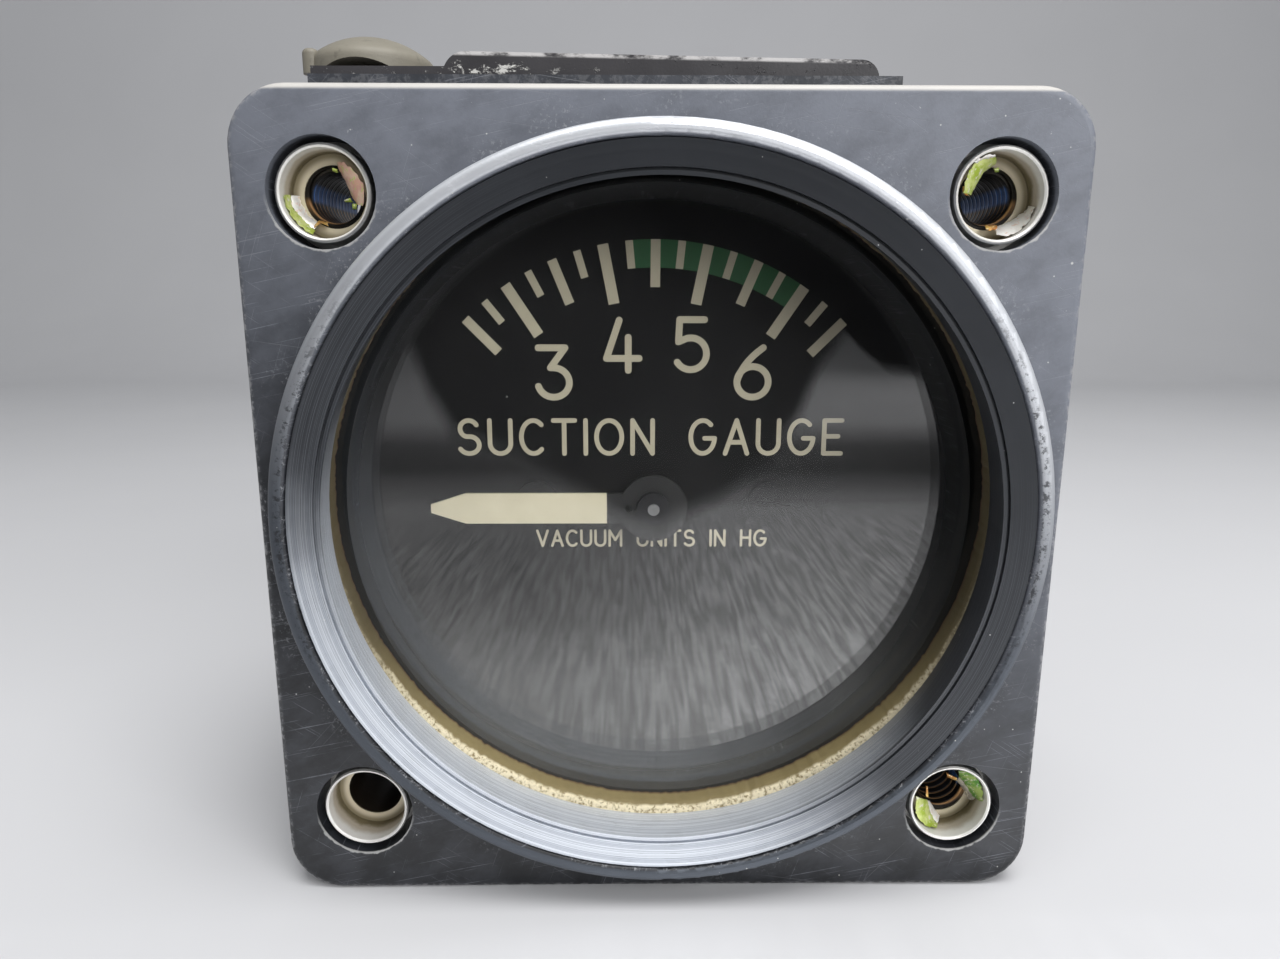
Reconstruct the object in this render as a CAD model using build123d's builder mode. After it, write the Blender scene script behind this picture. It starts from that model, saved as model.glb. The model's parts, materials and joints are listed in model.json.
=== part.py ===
from build123d import *
import os
from math import acos, asin, atan2, cos, degrees, pi, radians, sin, sqrt, tan

# Suction gauge for an aircraft panel, in millimetres.
# The front faces -Y, +X is to the right as the dial is read, +Z is up.
# The origin is where the bezel's axis crosses the front face of the mounting flange.

# Square flange with its four mounting holes
flange_width = 59.7
flange_height = 61.4
flange_thickness = 3.2
flange_corner = 4.2
flange_edge_round = 0.6
mount_side_margin = 6.28
mount_top_margin = 7.13
mount_hole_radius = 3.8

# Case: collar in front of the flange, barrel behind it
collar_radius = 28.1
collar_length = 3.0
collar_outer_round = 0.6
collar_inner_round = 0.45
barrel_radius = 27.8
barrel_rear_round = 1.2
back_wall = 4.0
movement_bore_radius = 25.0
front_bore_radius = 26.85

# Front stack, from the retaining ring back to the dial
ring_clearance = 0.1
ring_lip_radius = 24.46
ring_wall_radius = 25.3
ring_face_outer_y = -2.85
ring_face_inner_y = -2.5
ring_length_behind_flange = 2.0
groove_width = 0.22
groove_depth = 0.25
groove_offset = 0.3
gasket_thickness = 2.0
gasket_hole_radius = 25.1
gasket_sag = 0.45
glass_thickness = 2.0
glass_clearance = 0.25
spacer_thickness = 2.2
dial_thickness = 0.8
dial_edge_gap = 0.7
dial_hole_radius = 1.7
dial_screw_reach = 9.6
dial_screw_rise = 0.35
dial_screw_head_radius = 1.75
dial_screw_head_height = 0.7
dial_screw_radius = 0.6

# The movement and all that it carries sit a little low and left in the case
movement_x = -0.45
movement_z = -0.3

# Clearances
fit = 0.02
running = 0.05
end_play = 0.08

# Movement frame: two plates on pillars, posts back to the case
plate_thickness = 1.2
plate_gap = 6.8
front_plate_radius = 21.5
pillar_radius = 1.6
pillar_reach = 18.6
pillar_angles = (90, 210, 330)
plate_screw_radius = 0.8
plate_screw_head_radius = 1.5
plate_screw_head_height = 0.9
plate_screw_depth = 4.0
post_radius = 1.7
post_reach = 22.6
post_angles = (30, 150, 270)
post_spigot_radius = 1.0
post_nut_flats = 4.0
post_nut_height = 1.4
case_screw_radius = 1.2
case_screw_depth = 5.0
case_screw_head_radius = 2.3
case_screw_head_height = 1.7
seal_washer_thickness = 0.3
seal_washer_radius = 2.6
slot_width = 0.6
slot_depth = 0.5

# Pinion, sector gear and their arbors
module_size = 0.4
pinion_teeth = 12
sector_teeth = 72
pressure_angle = 25.0
backlash = 0.10
addendum_factor = 1.0
sector_addendum_factor = 0.9
dedendum_factor = 1.2
spaces_before = 2
spaces_after = 7
edge_space = 0.4
flank_steps = 3
sector_thickness = 0.8
sector_setback = 2.8
sector_hub_radius = 2.6
sector_rim = 1.7
sector_spoke_angle = 7.0
pinion_overlap = 0.6
arbor_radius = 0.8
arbor_tip_radius = 0.47
arbor_pivot_radius = 0.4
sector_arbor_radius = 1.0
sector_pivot_radius = 0.5
pointer_swing_angle = 140.0

# Rocking shaft behind the movement, which turns the capsule's stroke into the sector's swing
rock_swing_angle = 12.0
link_arm_length = 10.0
push_rod_length = 9.8
push_rod_radius = 0.5
push_gap = 0.15
tail_length = 5.0
tail_half_width = 0.8
tail_thickness = 0.8
tail_setback = 2.4
tail_overhang = 1.2
tail_hub_radius = 1.9
rock_shaft_radius = 0.8
rock_body_radius = 1.1
rock_left = -5.6
rock_shaft_overhang = 0.4
bracket_left = -5.0
bracket_right = 5.2
bracket_thickness = 1.0
bracket_half_height = 2.2
bracket_side_margin = 1.3
bracket_screw_radius = 0.7
bracket_screw_head_radius = 1.4
bracket_screw_head_height = 0.8
arm_thickness = 0.8
link_arm_hub_radius = 1.9
link_arm_eye_radius = 1.1
push_collar_wall = 0.7
push_collar_width = 1.5
link_pin_radius = 0.5
link_play = 0.15
link_thickness = 0.6
link_length = 3.845
link_half_width = 1.15

# Capsule and suction port
capsule_radius = 20.0
capsule_thickness = 8.0
capsule_back_gap = 2.0
capsule_rim_width = 1.2
capsule_rim_half = 0.35
capsule_wave = 0.45
capsule_waves = 3
capsule_neck_radius = 4.0
capsule_neck_length = 0.9
capsule_stud_radius = 2.0
capsule_stud_length = 2.4
stem_flange_radius = 2.4
stem_flange_thickness = 0.7
stem_radius = 0.9
stem_length = 2.4
port_thread_radius = 4.35
port_depth = 8.0
port_flats = 14.0
port_hex_height = 7.0
port_hex_chamfer = 0.5
port_shank_radius = 5.6
port_nose_gap = 0.4
port_seal_thickness = 0.4
port_seal_radius = 8.2
port_nut_flats = 15.0
port_nut_height = 1.5
vent_z = -15.5
vent_head_radius = 4.0
vent_head_height = 1.6
vent_shank_radius = 2.6
vent_bore_radius = 1.8
vent_screen_thickness = 0.3

# Pointer, its collet and the hairspring
pointer_thickness = 0.3
pointer_gap = 0.95
pointer_tip = 18.1
pointer_shoulder = 15.3
pointer_width = 2.5
pointer_tip_round = 0.35
pointer_disc_radius = 2.75
pointer_hole_reach = 2.0
pointer_hole_radius = 0.3
collet_radius = 1.35
collet_front_rise = 0.5
collet_flange_radius = 2.0
collet_flange_thickness = 0.3
collet_rear_radius = 1.2
tip_rise = 0.1
hairspring_turns = 3.0
hairspring_steps = 18
hairspring_inner = 1.6
hairspring_outer = 5.6
hairspring_strip = 0.22
hairspring_height = 0.45
hairspring_collet_length = 1.0
stud_radius = 0.8
stud_slot_clearance = 0.15
stop_pin_radius = 0.6
stop_pin_reach = 9.0
stop_pin_gap = 0.3

# Mounting inserts
sleeve_radius = 3.33
sleeve_wall = 0.3
sleeve_front_y = 0.4
sleeve_ledge_y = 3.0
sleeve_end_y = 14.0
sleeve_flange_radius = 4.5
sleeve_flange_thickness = 0.8
sleeve_rear_bore = 2.2
sleeve_rim_round = 0.12
nut_bore_radius = 1.8
nut_mouth_radius = 2.0
nut_front_y = 3.1
clip_flap_thickness = 0.25
clip_front_y = 0.95
clip_bend_y = 1.5
clip_base_thickness = 0.25

# Light fittings on the case's top pad
pad_side_margin = 4.85
pad_width = 42.0
pad_depth = 14.8
pad_rise = 1.2
pad_drop = 2.1
pad_web_half = 12.0
pad_web_root = 0.5
lamp_plate_thickness = 0.55
lamp_plate_margin = 0.2
lamp_plate_width = 10.6
lamp_plate_gap = 0.1
lamp_plate_depth = 10.7
block_inset = 9.1
block_width = 31.7
block_setback = 1.8
block_depth = 12.0
block_height_left = 2.0
block_height_right = 1.5
block_corner_left = 1.7
block_corner_right = 1.3
block_gap = 0.1
block_screw_reach = 10.0
block_screw_radius = 0.9
block_screw_head_radius = 1.8
block_screw_head_height = 0.8
block_screw_seat_height = 0.6
block_screw_length = 3.4
cap_inset = 3.2
cap_setback = 5.3
cap_radius = 4.6
cap_height = 3.05
cap_edge_height = 1.3
cap_edge_round = 0.8
cap_plug_radius = 2.4
cap_plug_length = 1.9
cap_tab_angle = 215.0
cap_tab_radius = 0.6
cap_tab_height = 1.75
cap_tab_round = 0.4
cap_arch_width = 5.6
cap_arch_height = 0.75

# Places along the gauge's axis, worked out from the sizes above
glass_front = ring_length_behind_flange + gasket_thickness
glass_rear = glass_front + glass_thickness
dial_front = glass_rear + spacer_thickness
dial_rear = dial_front + dial_thickness
front_plate_rear = dial_rear + plate_thickness
rear_plate_front = front_plate_rear + plate_gap
rear_plate_rear = rear_plate_front + plate_thickness
sector_front = front_plate_rear + sector_setback
sector_rear = sector_front + sector_thickness
tail_front = rear_plate_rear + tail_setback
tail_middle = tail_front + tail_thickness / 2
pointer_rear = dial_front - pointer_gap
pointer_front = pointer_rear - pointer_thickness
collet_front = pointer_front - collet_front_rise
rock_y = tail_middle + push_rod_length
rest_tilt = radians(rock_swing_angle / 2)
arm_pin_y = rock_y - link_arm_length * sin(rest_tilt)
stem_pin_y = arm_pin_y + link_length
capsule_front_y = stem_pin_y + stem_length
capsule_rear_y = capsule_front_y + capsule_thickness
back_inner = capsule_rear_y + capsule_back_gap
barrel_length = back_inner + back_wall
port_nose_y = capsule_rear_y + port_nose_gap

# Gear sizes
pinion_pitch = module_size * pinion_teeth / 2
sector_pitch = module_size * sector_teeth / 2
centre_distance = pinion_pitch + sector_pitch
sector_swing = pointer_swing_angle * pinion_teeth / sector_teeth
pitch_angle = 360 / sector_teeth

# Places across the axis: the stem is on the movement's axis, the rocking shaft above it
rock_z = movement_z + link_arm_length
sector_z = rock_z - push_rod_radius - tail_half_width - push_gap
sector_x = movement_x + sqrt(centre_distance**2 - (sector_z - movement_z) ** 2)
push_x = sector_x - tail_length
mesh_angle = degrees(atan2(sector_z - movement_z, sector_x - movement_x))
mount_x = flange_width / 2 - mount_side_margin
mount_z = flange_height / 2 - mount_top_margin
mount_places = [(sx * mount_x, sz * mount_z) for sz in (1, -1) for sx in (-1, 1)]

# The pad behind the flange's top edge, and what stands on it
pad_left = -flange_width / 2 + pad_side_margin
pad_top = flange_height / 2 + pad_rise
pad_bottom = flange_height / 2 - pad_drop
lamp_plate_left = pad_left + lamp_plate_margin
lamp_plate_front = flange_thickness + lamp_plate_gap
block_left = pad_left + block_inset
block_right = block_left + block_width
block_front = flange_thickness + block_setback
block_middle = (block_left + block_right) / 2
block_screw_places = [
    (block_middle + side * block_screw_reach, block_front + block_depth / 2) for side in (-1, 1)
]
block_screw_seat = pad_top + block_screw_seat_height
cap_x = pad_left + cap_inset
cap_y = flange_thickness + cap_setback


def front_plane(y, x=0.0, z=0.0):
    """A plane seen from the front: local x is +X, local y is +Z, and minus amounts go back."""
    return Plane(origin=(x, y, z), x_dir=(1, 0, 0), z_dir=(0, -1, 0))


def side_plane(x, y, z):
    """A plane square to X, with local x along +Y and local y along +Z."""
    return Plane(origin=(x, y, z), x_dir=(0, 1, 0), z_dir=(1, 0, 0))


def ring_of(reach, angles):
    """Places around the movement's axis."""
    return [
        (movement_x + reach * cos(radians(a)), movement_z + reach * sin(radians(a))) for a in angles
    ]


def turned(profile, places=((0.0, 0.0),)):
    """Pieces turned about lines parallel to Y, from one outline of (radius, y) points."""
    with BuildPart() as piece:
        for x, z in places:
            with BuildSketch(Plane(origin=(x, 0, z))):
                with BuildLine():
                    Polyline(*profile, close=True)
                make_face()
            revolve(axis=Axis((x, 0, z), (0, 1, 0)))
    return piece


def tube(inner, outer, y_from, y_to):
    """The outline of a plain ring or, with inner 0, of a plain pin."""
    return [(inner, y_from), (outer, y_from), (outer, y_to), (inner, y_to)]


def slotted_screws(shank, head, head_height, y_head, y_end, places):
    """Screws along Y with a slotted head. The head lies in front of y_head if y_end is larger."""
    towards = 1 if y_end > y_head else -1
    y_top = y_head - towards * head_height
    with BuildPart() as screws:
        for x, z in places:
            with BuildSketch(front_plane(y_top, x, z)):
                Circle(head)
            extrude(amount=-towards * head_height)
            with BuildSketch(front_plane(y_head, x, z)):
                Circle(shank)
            extrude(amount=-(y_end - y_head))
            with BuildSketch(front_plane(y_top, x, z)):
                Rectangle(2 * head, slot_width)
            extrude(amount=-towards * slot_depth, mode=Mode.SUBTRACT)
    return screws


def involute(radius, base):
    """The involute function at a radius, in radians."""
    angle = acos(min(1.0, base / radius))
    return tan(angle) - angle


def tooth_outline(teeth, tip, root, centre):
    """One tooth about the direction centre, in degrees, as points from root over the tip to root."""
    pitch = module_size * teeth / 2
    base = pitch * cos(radians(pressure_angle))
    half_at_pitch = pi / (2 * teeth) - backlash / (4 * pitch)
    start = max(root, base)
    radii = [root] if root < base else []
    radii += [start + (tip - start) * step / flank_steps for step in range(flank_steps + 1)]
    halves = [half_at_pitch + involute(pitch, base) - involute(max(r, base), base) for r in radii]
    middle = radians(centre)
    rising = [(r * cos(middle + h), r * sin(middle + h)) for r, h in zip(radii, halves)]
    falling = [(r * cos(middle - h), r * sin(middle - h)) for r, h in zip(radii, halves)]
    return rising + falling[::-1]


def polar(reach, angle):
    """A point at a reach and an angle in degrees."""
    return (reach * cos(radians(angle)), reach * sin(radians(angle)))


# Case: flange, collar, barrel and top pad in one casting
with BuildPart() as case:
    with BuildSketch(front_plane(0)):
        RectangleRounded(flange_width, flange_height, flange_corner)
    extrude(amount=-flange_thickness)
    fillet(case.faces().sort_by(Axis.Y)[0].edges(), flange_edge_round)
    with BuildSketch(front_plane(flange_thickness)):
        with Locations((pad_left + pad_width / 2, (pad_top + pad_bottom) / 2)):
            Rectangle(pad_width, pad_top - pad_bottom)
        with Locations((0, (pad_bottom + movement_bore_radius) / 2)):
            Rectangle(2 * pad_web_half, pad_bottom - movement_bore_radius + 2 * pad_web_root)
    extrude(amount=-pad_depth)
    with BuildSketch(front_plane(-collar_length)):
        Circle(collar_radius)
    extrude(amount=-collar_length)
    with BuildSketch(front_plane(0)):
        Circle(barrel_radius)
    extrude(amount=-barrel_length)
    with BuildSketch(front_plane(-collar_length)):
        Circle(front_bore_radius)
    extrude(amount=-(collar_length + dial_front), mode=Mode.SUBTRACT)
    with BuildSketch(front_plane(dial_front)):
        Circle(movement_bore_radius)
    extrude(amount=-(back_inner - dial_front), mode=Mode.SUBTRACT)
    rims = case.edges().filter_by(GeomType.CIRCLE).group_by(Axis.Y)[0].sort_by(SortBy.RADIUS)
    fillet(rims[-1], collar_outer_round)
    rims = case.edges().filter_by(GeomType.CIRCLE).group_by(Axis.Y)[0].sort_by(SortBy.RADIUS)
    fillet(rims[0], collar_inner_round)
    fillet(case.faces().sort_by(Axis.Y)[-1].edges(), barrel_rear_round)
    with BuildSketch(front_plane(0)):
        with Locations(*mount_places):
            Circle(mount_hole_radius)
    extrude(amount=-flange_thickness, mode=Mode.SUBTRACT)
    with BuildSketch(front_plane(back_inner)):
        with Locations((movement_x, movement_z)):
            Circle(port_shank_radius + fit)
        with Locations((movement_x, vent_z)):
            Circle(vent_shank_radius + fit)
        with Locations(*ring_of(post_reach, post_angles)):
            Circle(case_screw_radius + running)
    extrude(amount=-back_wall, mode=Mode.SUBTRACT)
    with BuildSketch(Plane.XY.offset(pad_top)):
        with Locations((cap_x, cap_y)):
            Circle(cap_plug_radius + fit)
    extrude(amount=-cap_plug_length, mode=Mode.SUBTRACT)
    with BuildSketch(Plane.XY.offset(pad_top)):
        with Locations(*block_screw_places):
            Circle(block_screw_radius + fit)
    extrude(amount=-(block_screw_length + block_screw_seat_height), mode=Mode.SUBTRACT)

# Front stack
ring_outer = front_bore_radius - ring_clearance
joint = ring_lip_radius + groove_offset
retaining_ring = turned(
    [
        (ring_lip_radius, ring_face_inner_y),
        (joint, ring_face_inner_y),
        (joint, ring_face_inner_y + groove_depth),
        (joint + groove_width, ring_face_inner_y + groove_depth),
        (joint + groove_width, ring_face_inner_y),
        (ring_outer, ring_face_outer_y),
        (ring_outer, ring_length_behind_flange),
        (ring_wall_radius, ring_length_behind_flange),
    ]
)
glass_radius = front_bore_radius - glass_clearance
glass = turned(tube(0, glass_radius, glass_front, glass_rear))
spacer_ring = turned(tube(movement_bore_radius, glass_radius, glass_rear, dial_front))

# The gasket has slumped, so more of it shows below the glass than above
with BuildPart() as glass_gasket:
    with BuildSketch(front_plane(ring_length_behind_flange)):
        Circle(glass_radius)
        with Locations((0, gasket_sag)):
            Circle(gasket_hole_radius, mode=Mode.SUBTRACT)
    extrude(amount=-gasket_thickness)

dial_screw_places = [
    (movement_x + side * dial_screw_reach, movement_z + dial_screw_rise) for side in (-1, 1)
]
with BuildPart() as dial:
    with BuildSketch(front_plane(dial_front)):
        with Locations((movement_x, movement_z)):
            Circle(movement_bore_radius - dial_edge_gap)
            Circle(dial_hole_radius, mode=Mode.SUBTRACT)
        with Locations(*dial_screw_places):
            Circle(dial_screw_radius + fit, mode=Mode.SUBTRACT)
    extrude(amount=-dial_thickness)

dial_screws = slotted_screws(
    dial_screw_radius,
    dial_screw_head_radius,
    dial_screw_head_height,
    dial_front,
    front_plate_rear,
    dial_screw_places,
)

# Movement frame
pillar_places = ring_of(pillar_reach, pillar_angles)
post_places = ring_of(post_reach, post_angles)
sector_edge_low = mesh_angle + 180 + (spaces_before + edge_space) * pitch_angle
sector_edge_high = mesh_angle + 180 - (spaces_after + edge_space) * pitch_angle
stop_turn = degrees((stop_pin_gap + stop_pin_radius) / stop_pin_reach)
stop_angles = (sector_edge_high - stop_turn, sector_edge_low + sector_swing + stop_turn)
stop_places = [
    (sector_x + stop_pin_reach * cos(radians(a)), sector_z + stop_pin_reach * sin(radians(a)))
    for a in stop_angles
]
with BuildPart() as front_plate:
    with BuildSketch(front_plane(dial_rear)):
        with Locations((movement_x, movement_z)):
            Circle(front_plate_radius)
            Circle(arbor_radius + running, mode=Mode.SUBTRACT)
        with Locations((sector_x, sector_z)):
            Circle(sector_pivot_radius + running, mode=Mode.SUBTRACT)
        with Locations(*dial_screw_places):
            Circle(dial_screw_radius + fit, mode=Mode.SUBTRACT)
        with Locations(*pillar_places):
            Circle(plate_screw_radius + fit, mode=Mode.SUBTRACT)
        with Locations(*stop_places):
            Circle(stop_pin_radius + fit, mode=Mode.SUBTRACT)
    extrude(amount=-plate_thickness)

rear_plate_radius = post_reach + post_radius
bracket_places = [
    (movement_x + bracket_left / 2, rock_z),
    (movement_x + bracket_right / 2, rock_z),
]
stud_reach = hairspring_outer - hairspring_strip / 2
stud_place = (movement_x - stud_reach, movement_z)
with BuildPart() as rear_plate:
    with BuildSketch(front_plane(rear_plate_front)):
        with Locations((movement_x, movement_z)):
            Circle(rear_plate_radius)
            Circle(arbor_pivot_radius + running, mode=Mode.SUBTRACT)
        with Locations((sector_x, sector_z)):
            Circle(sector_arbor_radius + running, mode=Mode.SUBTRACT)
        with Locations(*pillar_places):
            Circle(plate_screw_radius + fit, mode=Mode.SUBTRACT)
        with Locations(*post_places):
            Circle(post_spigot_radius + fit, mode=Mode.SUBTRACT)
        with Locations(*bracket_places):
            Circle(bracket_screw_radius + fit, mode=Mode.SUBTRACT)
        with Locations(stud_place):
            Circle(stud_radius / 2 + fit, mode=Mode.SUBTRACT)
    extrude(amount=-plate_thickness)

with BuildPart() as pillars:
    for x, z in pillar_places:
        with BuildSketch(front_plane(front_plate_rear, x, z)):
            Circle(pillar_radius)
        extrude(amount=-plate_gap)
        with BuildSketch(front_plane(dial_rear, x, z)):
            Circle(plate_screw_radius)
        extrude(amount=-plate_thickness)
        with BuildSketch(front_plane(rear_plate_front, x, z)):
            Circle(plate_screw_radius + fit)
        extrude(amount=plate_screw_depth, mode=Mode.SUBTRACT)

plate_screws = slotted_screws(
    plate_screw_radius,
    plate_screw_head_radius,
    plate_screw_head_height,
    rear_plate_rear,
    rear_plate_front - plate_screw_depth + end_play,
    pillar_places,
)

with BuildPart() as case_posts:
    for x, z in post_places:
        with BuildSketch(front_plane(rear_plate_rear, x, z)):
            Circle(post_radius)
        extrude(amount=-(back_inner - rear_plate_rear))
        with BuildSketch(front_plane(rear_plate_front - post_nut_height, x, z)):
            Circle(post_spigot_radius)
        extrude(amount=-(post_nut_height + plate_thickness))
        with BuildSketch(front_plane(back_inner, x, z)):
            Circle(case_screw_radius + fit)
        extrude(amount=case_screw_depth, mode=Mode.SUBTRACT)

with BuildPart() as post_nuts:
    for x, z in post_places:
        with BuildSketch(front_plane(rear_plate_front - post_nut_height, x, z)):
            RegularPolygon(post_nut_flats / 2, 6, major_radius=False)
            Circle(post_spigot_radius + fit, mode=Mode.SUBTRACT)
        extrude(amount=-post_nut_height)

seal_washers = turned(
    tube(
        case_screw_radius + running,
        seal_washer_radius,
        barrel_length,
        barrel_length + seal_washer_thickness,
    ),
    post_places,
)
case_screws = slotted_screws(
    case_screw_radius,
    case_screw_head_radius,
    case_screw_head_height,
    barrel_length + seal_washer_thickness,
    back_inner - case_screw_depth + end_play,
    post_places,
)

with BuildPart() as stop_pins:
    for x, z in stop_places:
        with BuildSketch(front_plane(dial_rear, x, z)):
            Circle(stop_pin_radius)
        extrude(amount=-(sector_rear + end_play - dial_rear))

# Sector gear, its arbor and the tail lever that the push rod bears on
sector_tip = sector_pitch + sector_addendum_factor * module_size
sector_root = sector_pitch - dedendum_factor * module_size
sector_outline = [polar(sector_root, sector_edge_high)]
for index in range(spaces_after + spaces_before):
    tooth_angle = mesh_angle + 180 - (spaces_after - 0.5 - index) * pitch_angle
    sector_outline += tooth_outline(sector_teeth, sector_tip, sector_root, tooth_angle)[::-1]
sector_outline += [polar(sector_root, sector_edge_low), (0, 0)]
window_low = sector_edge_high + sector_spoke_angle
window_high = sector_edge_low - sector_spoke_angle
window_outer = sector_root - sector_rim
window_inner = sector_hub_radius + sector_rim
with BuildPart() as sector_gear:
    with BuildSketch(front_plane(sector_front, sector_x, sector_z)):
        with BuildLine():
            Polyline(*sector_outline, close=True)
        make_face()
        Circle(sector_hub_radius)
        Circle(sector_arbor_radius + fit, mode=Mode.SUBTRACT)
        with BuildLine():
            Polyline(polar(window_inner, window_low), polar(window_outer, window_low))
            CenterArc((0, 0), window_outer, window_low, window_high - window_low)
            Polyline(polar(window_outer, window_high), polar(window_inner, window_high))
            CenterArc((0, 0), window_inner, window_low, window_high - window_low)
        make_face(mode=Mode.SUBTRACT)
    extrude(amount=-sector_thickness)

tail_rear = tail_front + tail_thickness
sector_arbor = turned(
    [
        (0, dial_rear + end_play),
        (sector_pivot_radius, dial_rear + end_play),
        (sector_pivot_radius, front_plate_rear + end_play),
        (sector_arbor_radius, front_plate_rear + end_play),
        (sector_arbor_radius, tail_rear),
        (0, tail_rear),
    ],
    [(sector_x, sector_z)],
)

tail_angle = radians(180 - sector_swing / 2)
tail_end = tail_length + tail_overhang
with BuildPart() as sector_tail:
    with BuildSketch(
        Plane(
            origin=(sector_x, tail_front, sector_z),
            x_dir=(cos(tail_angle), 0, sin(tail_angle)),
            z_dir=(0, -1, 0),
        )
    ):
        Circle(tail_hub_radius)
        Rectangle(tail_end, 2 * tail_half_width, align=(Align.MIN, Align.CENTER))
        Circle(sector_arbor_radius + fit, mode=Mode.SUBTRACT)
    extrude(amount=-tail_thickness)

# Pinion cut on the pointer's arbor
pinion_tip = pinion_pitch + addendum_factor * module_size
pinion_root = pinion_pitch - dedendum_factor * module_size
pinion_outline = []
for index in range(pinion_teeth):
    pinion_outline += tooth_outline(
        pinion_teeth, pinion_tip, pinion_root, mesh_angle - index * 360 / pinion_teeth
    )
pinion_front = sector_front - pinion_overlap
pinion_rear = sector_rear + pinion_overlap
collet_rear = dial_rear - 2 * end_play
with BuildPart() as pinion_arbor:
    with BuildSketch(Plane(origin=(movement_x, 0, movement_z))):
        with BuildLine():
            Polyline(
                (0, collet_front - tip_rise),
                (arbor_tip_radius, collet_front - tip_rise),
                (arbor_tip_radius, collet_rear + end_play),
                (arbor_radius, collet_rear + end_play),
                (arbor_radius, rear_plate_front - end_play),
                (arbor_pivot_radius, rear_plate_front - end_play),
                (arbor_pivot_radius, rear_plate_rear),
                (0, rear_plate_rear),
                close=True,
            )
        make_face()
    revolve(axis=Axis((movement_x, 0, movement_z), (0, 1, 0)))
    with BuildSketch(front_plane(pinion_front, movement_x, movement_z)):
        with BuildLine():
            Polyline(*pinion_outline, close=True)
        make_face()
    extrude(amount=-(pinion_rear - pinion_front))

# Pointer and the collet that holds it on the arbor
with BuildPart() as pointer:
    with BuildSketch(front_plane(pointer_front, movement_x, movement_z)):
        with BuildLine():
            Polyline(
                (0, pointer_width / 2),
                (-pointer_shoulder, pointer_width / 2),
                (-pointer_tip, pointer_tip_round),
                (-pointer_tip, -pointer_tip_round),
                (-pointer_shoulder, -pointer_width / 2),
                (0, -pointer_width / 2),
                close=True,
            )
        make_face()
        Circle(pointer_disc_radius)
        Circle(collet_radius + fit, mode=Mode.SUBTRACT)
        with Locations((-pointer_hole_reach, 0)):
            Circle(pointer_hole_radius, mode=Mode.SUBTRACT)
    extrude(amount=-pointer_thickness)

pointer_collet = turned(
    [
        (arbor_tip_radius + fit, collet_front),
        (collet_radius, collet_front),
        (collet_radius, pointer_rear),
        (collet_flange_radius, pointer_rear),
        (collet_flange_radius, pointer_rear + collet_flange_thickness),
        (collet_rear_radius, pointer_rear + collet_flange_thickness),
        (collet_rear_radius, collet_rear),
        (arbor_tip_radius + fit, collet_rear),
    ],
    [(movement_x, movement_z)],
)

# Hairspring between its collet on the arbor and its stud on the rear plate
spring_front = pinion_rear + end_play + (hairspring_collet_length - hairspring_height) / 2
spring_count = int(hairspring_turns * hairspring_steps)
spring_line = []
for index in range(spring_count + 1):
    share = index / spring_count
    reach = hairspring_inner + (hairspring_outer - hairspring_inner) * share
    spring_line.append((reach, 180 - 360 * hairspring_turns * (1 - share)))
with BuildPart() as hairspring:
    with BuildSketch(front_plane(spring_front, movement_x, movement_z)):
        with BuildLine():
            Polyline(
                *[polar(reach, angle) for reach, angle in spring_line],
                *[polar(reach - hairspring_strip, angle) for reach, angle in spring_line[::-1]],
                close=True,
            )
        make_face()
    extrude(amount=-hairspring_height)

hairspring_collet = turned(
    tube(
        arbor_radius + fit,
        hairspring_inner - hairspring_strip - running,
        pinion_rear + end_play,
        pinion_rear + end_play + hairspring_collet_length,
    ),
    [(movement_x, movement_z)],
)

with BuildPart() as hairspring_stud:
    with BuildSketch(front_plane(spring_front - end_play, *stud_place)):
        Circle(stud_radius)
    extrude(amount=-(rear_plate_front - spring_front + end_play))
    with BuildSketch(front_plane(rear_plate_front, *stud_place)):
        Circle(stud_radius / 2)
    extrude(amount=-plate_thickness)
    with BuildSketch(front_plane(spring_front - end_play, *stud_place)):
        Rectangle(hairspring_strip + 2 * stud_slot_clearance, 2 * stud_radius)
    extrude(amount=-(hairspring_height + 2 * end_play), mode=Mode.SUBTRACT)

# Rocking shaft in its bracket
bracket_low = movement_x + bracket_left - bracket_side_margin
bracket_high = movement_x + bracket_right + bracket_thickness + bracket_side_margin
with BuildPart() as rock_bracket:
    with BuildSketch(front_plane(rear_plate_rear)):
        with Locations(((bracket_low + bracket_high) / 2, rock_z)):
            Rectangle(bracket_high - bracket_low, 2 * bracket_half_height)
        with Locations(*bracket_places):
            Circle(bracket_screw_radius + fit, mode=Mode.SUBTRACT)
    extrude(amount=-bracket_thickness)
    for left in (bracket_left, bracket_right):
        with BuildSketch(side_plane(movement_x + left, rear_plate_rear, rock_z)):
            Rectangle(
                rock_y - rear_plate_rear,
                2 * bracket_half_height,
                align=(Align.MIN, Align.CENTER),
            )
            with Locations((rock_y - rear_plate_rear, 0)):
                Circle(bracket_half_height)
                Circle(rock_shaft_radius + running, mode=Mode.SUBTRACT)
        extrude(amount=bracket_thickness)

bracket_screws = slotted_screws(
    bracket_screw_radius,
    bracket_screw_head_radius,
    bracket_screw_head_height,
    rear_plate_rear + bracket_thickness,
    rear_plate_front,
    bracket_places,
)

shaft_from = movement_x + rock_left
shaft_to = push_x + push_collar_width / 2 + rock_shaft_overhang - 2 * running
body_from = movement_x + bracket_left + bracket_thickness + end_play
body_to = movement_x + bracket_right - end_play
with BuildPart() as rock_shaft:
    with BuildSketch(side_plane(shaft_from, rock_y, rock_z)):
        Circle(rock_shaft_radius)
    extrude(amount=shaft_to - shaft_from)
    with BuildSketch(side_plane(body_from, rock_y, rock_z)):
        Circle(rock_body_radius)
    extrude(amount=body_to - body_from)

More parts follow.
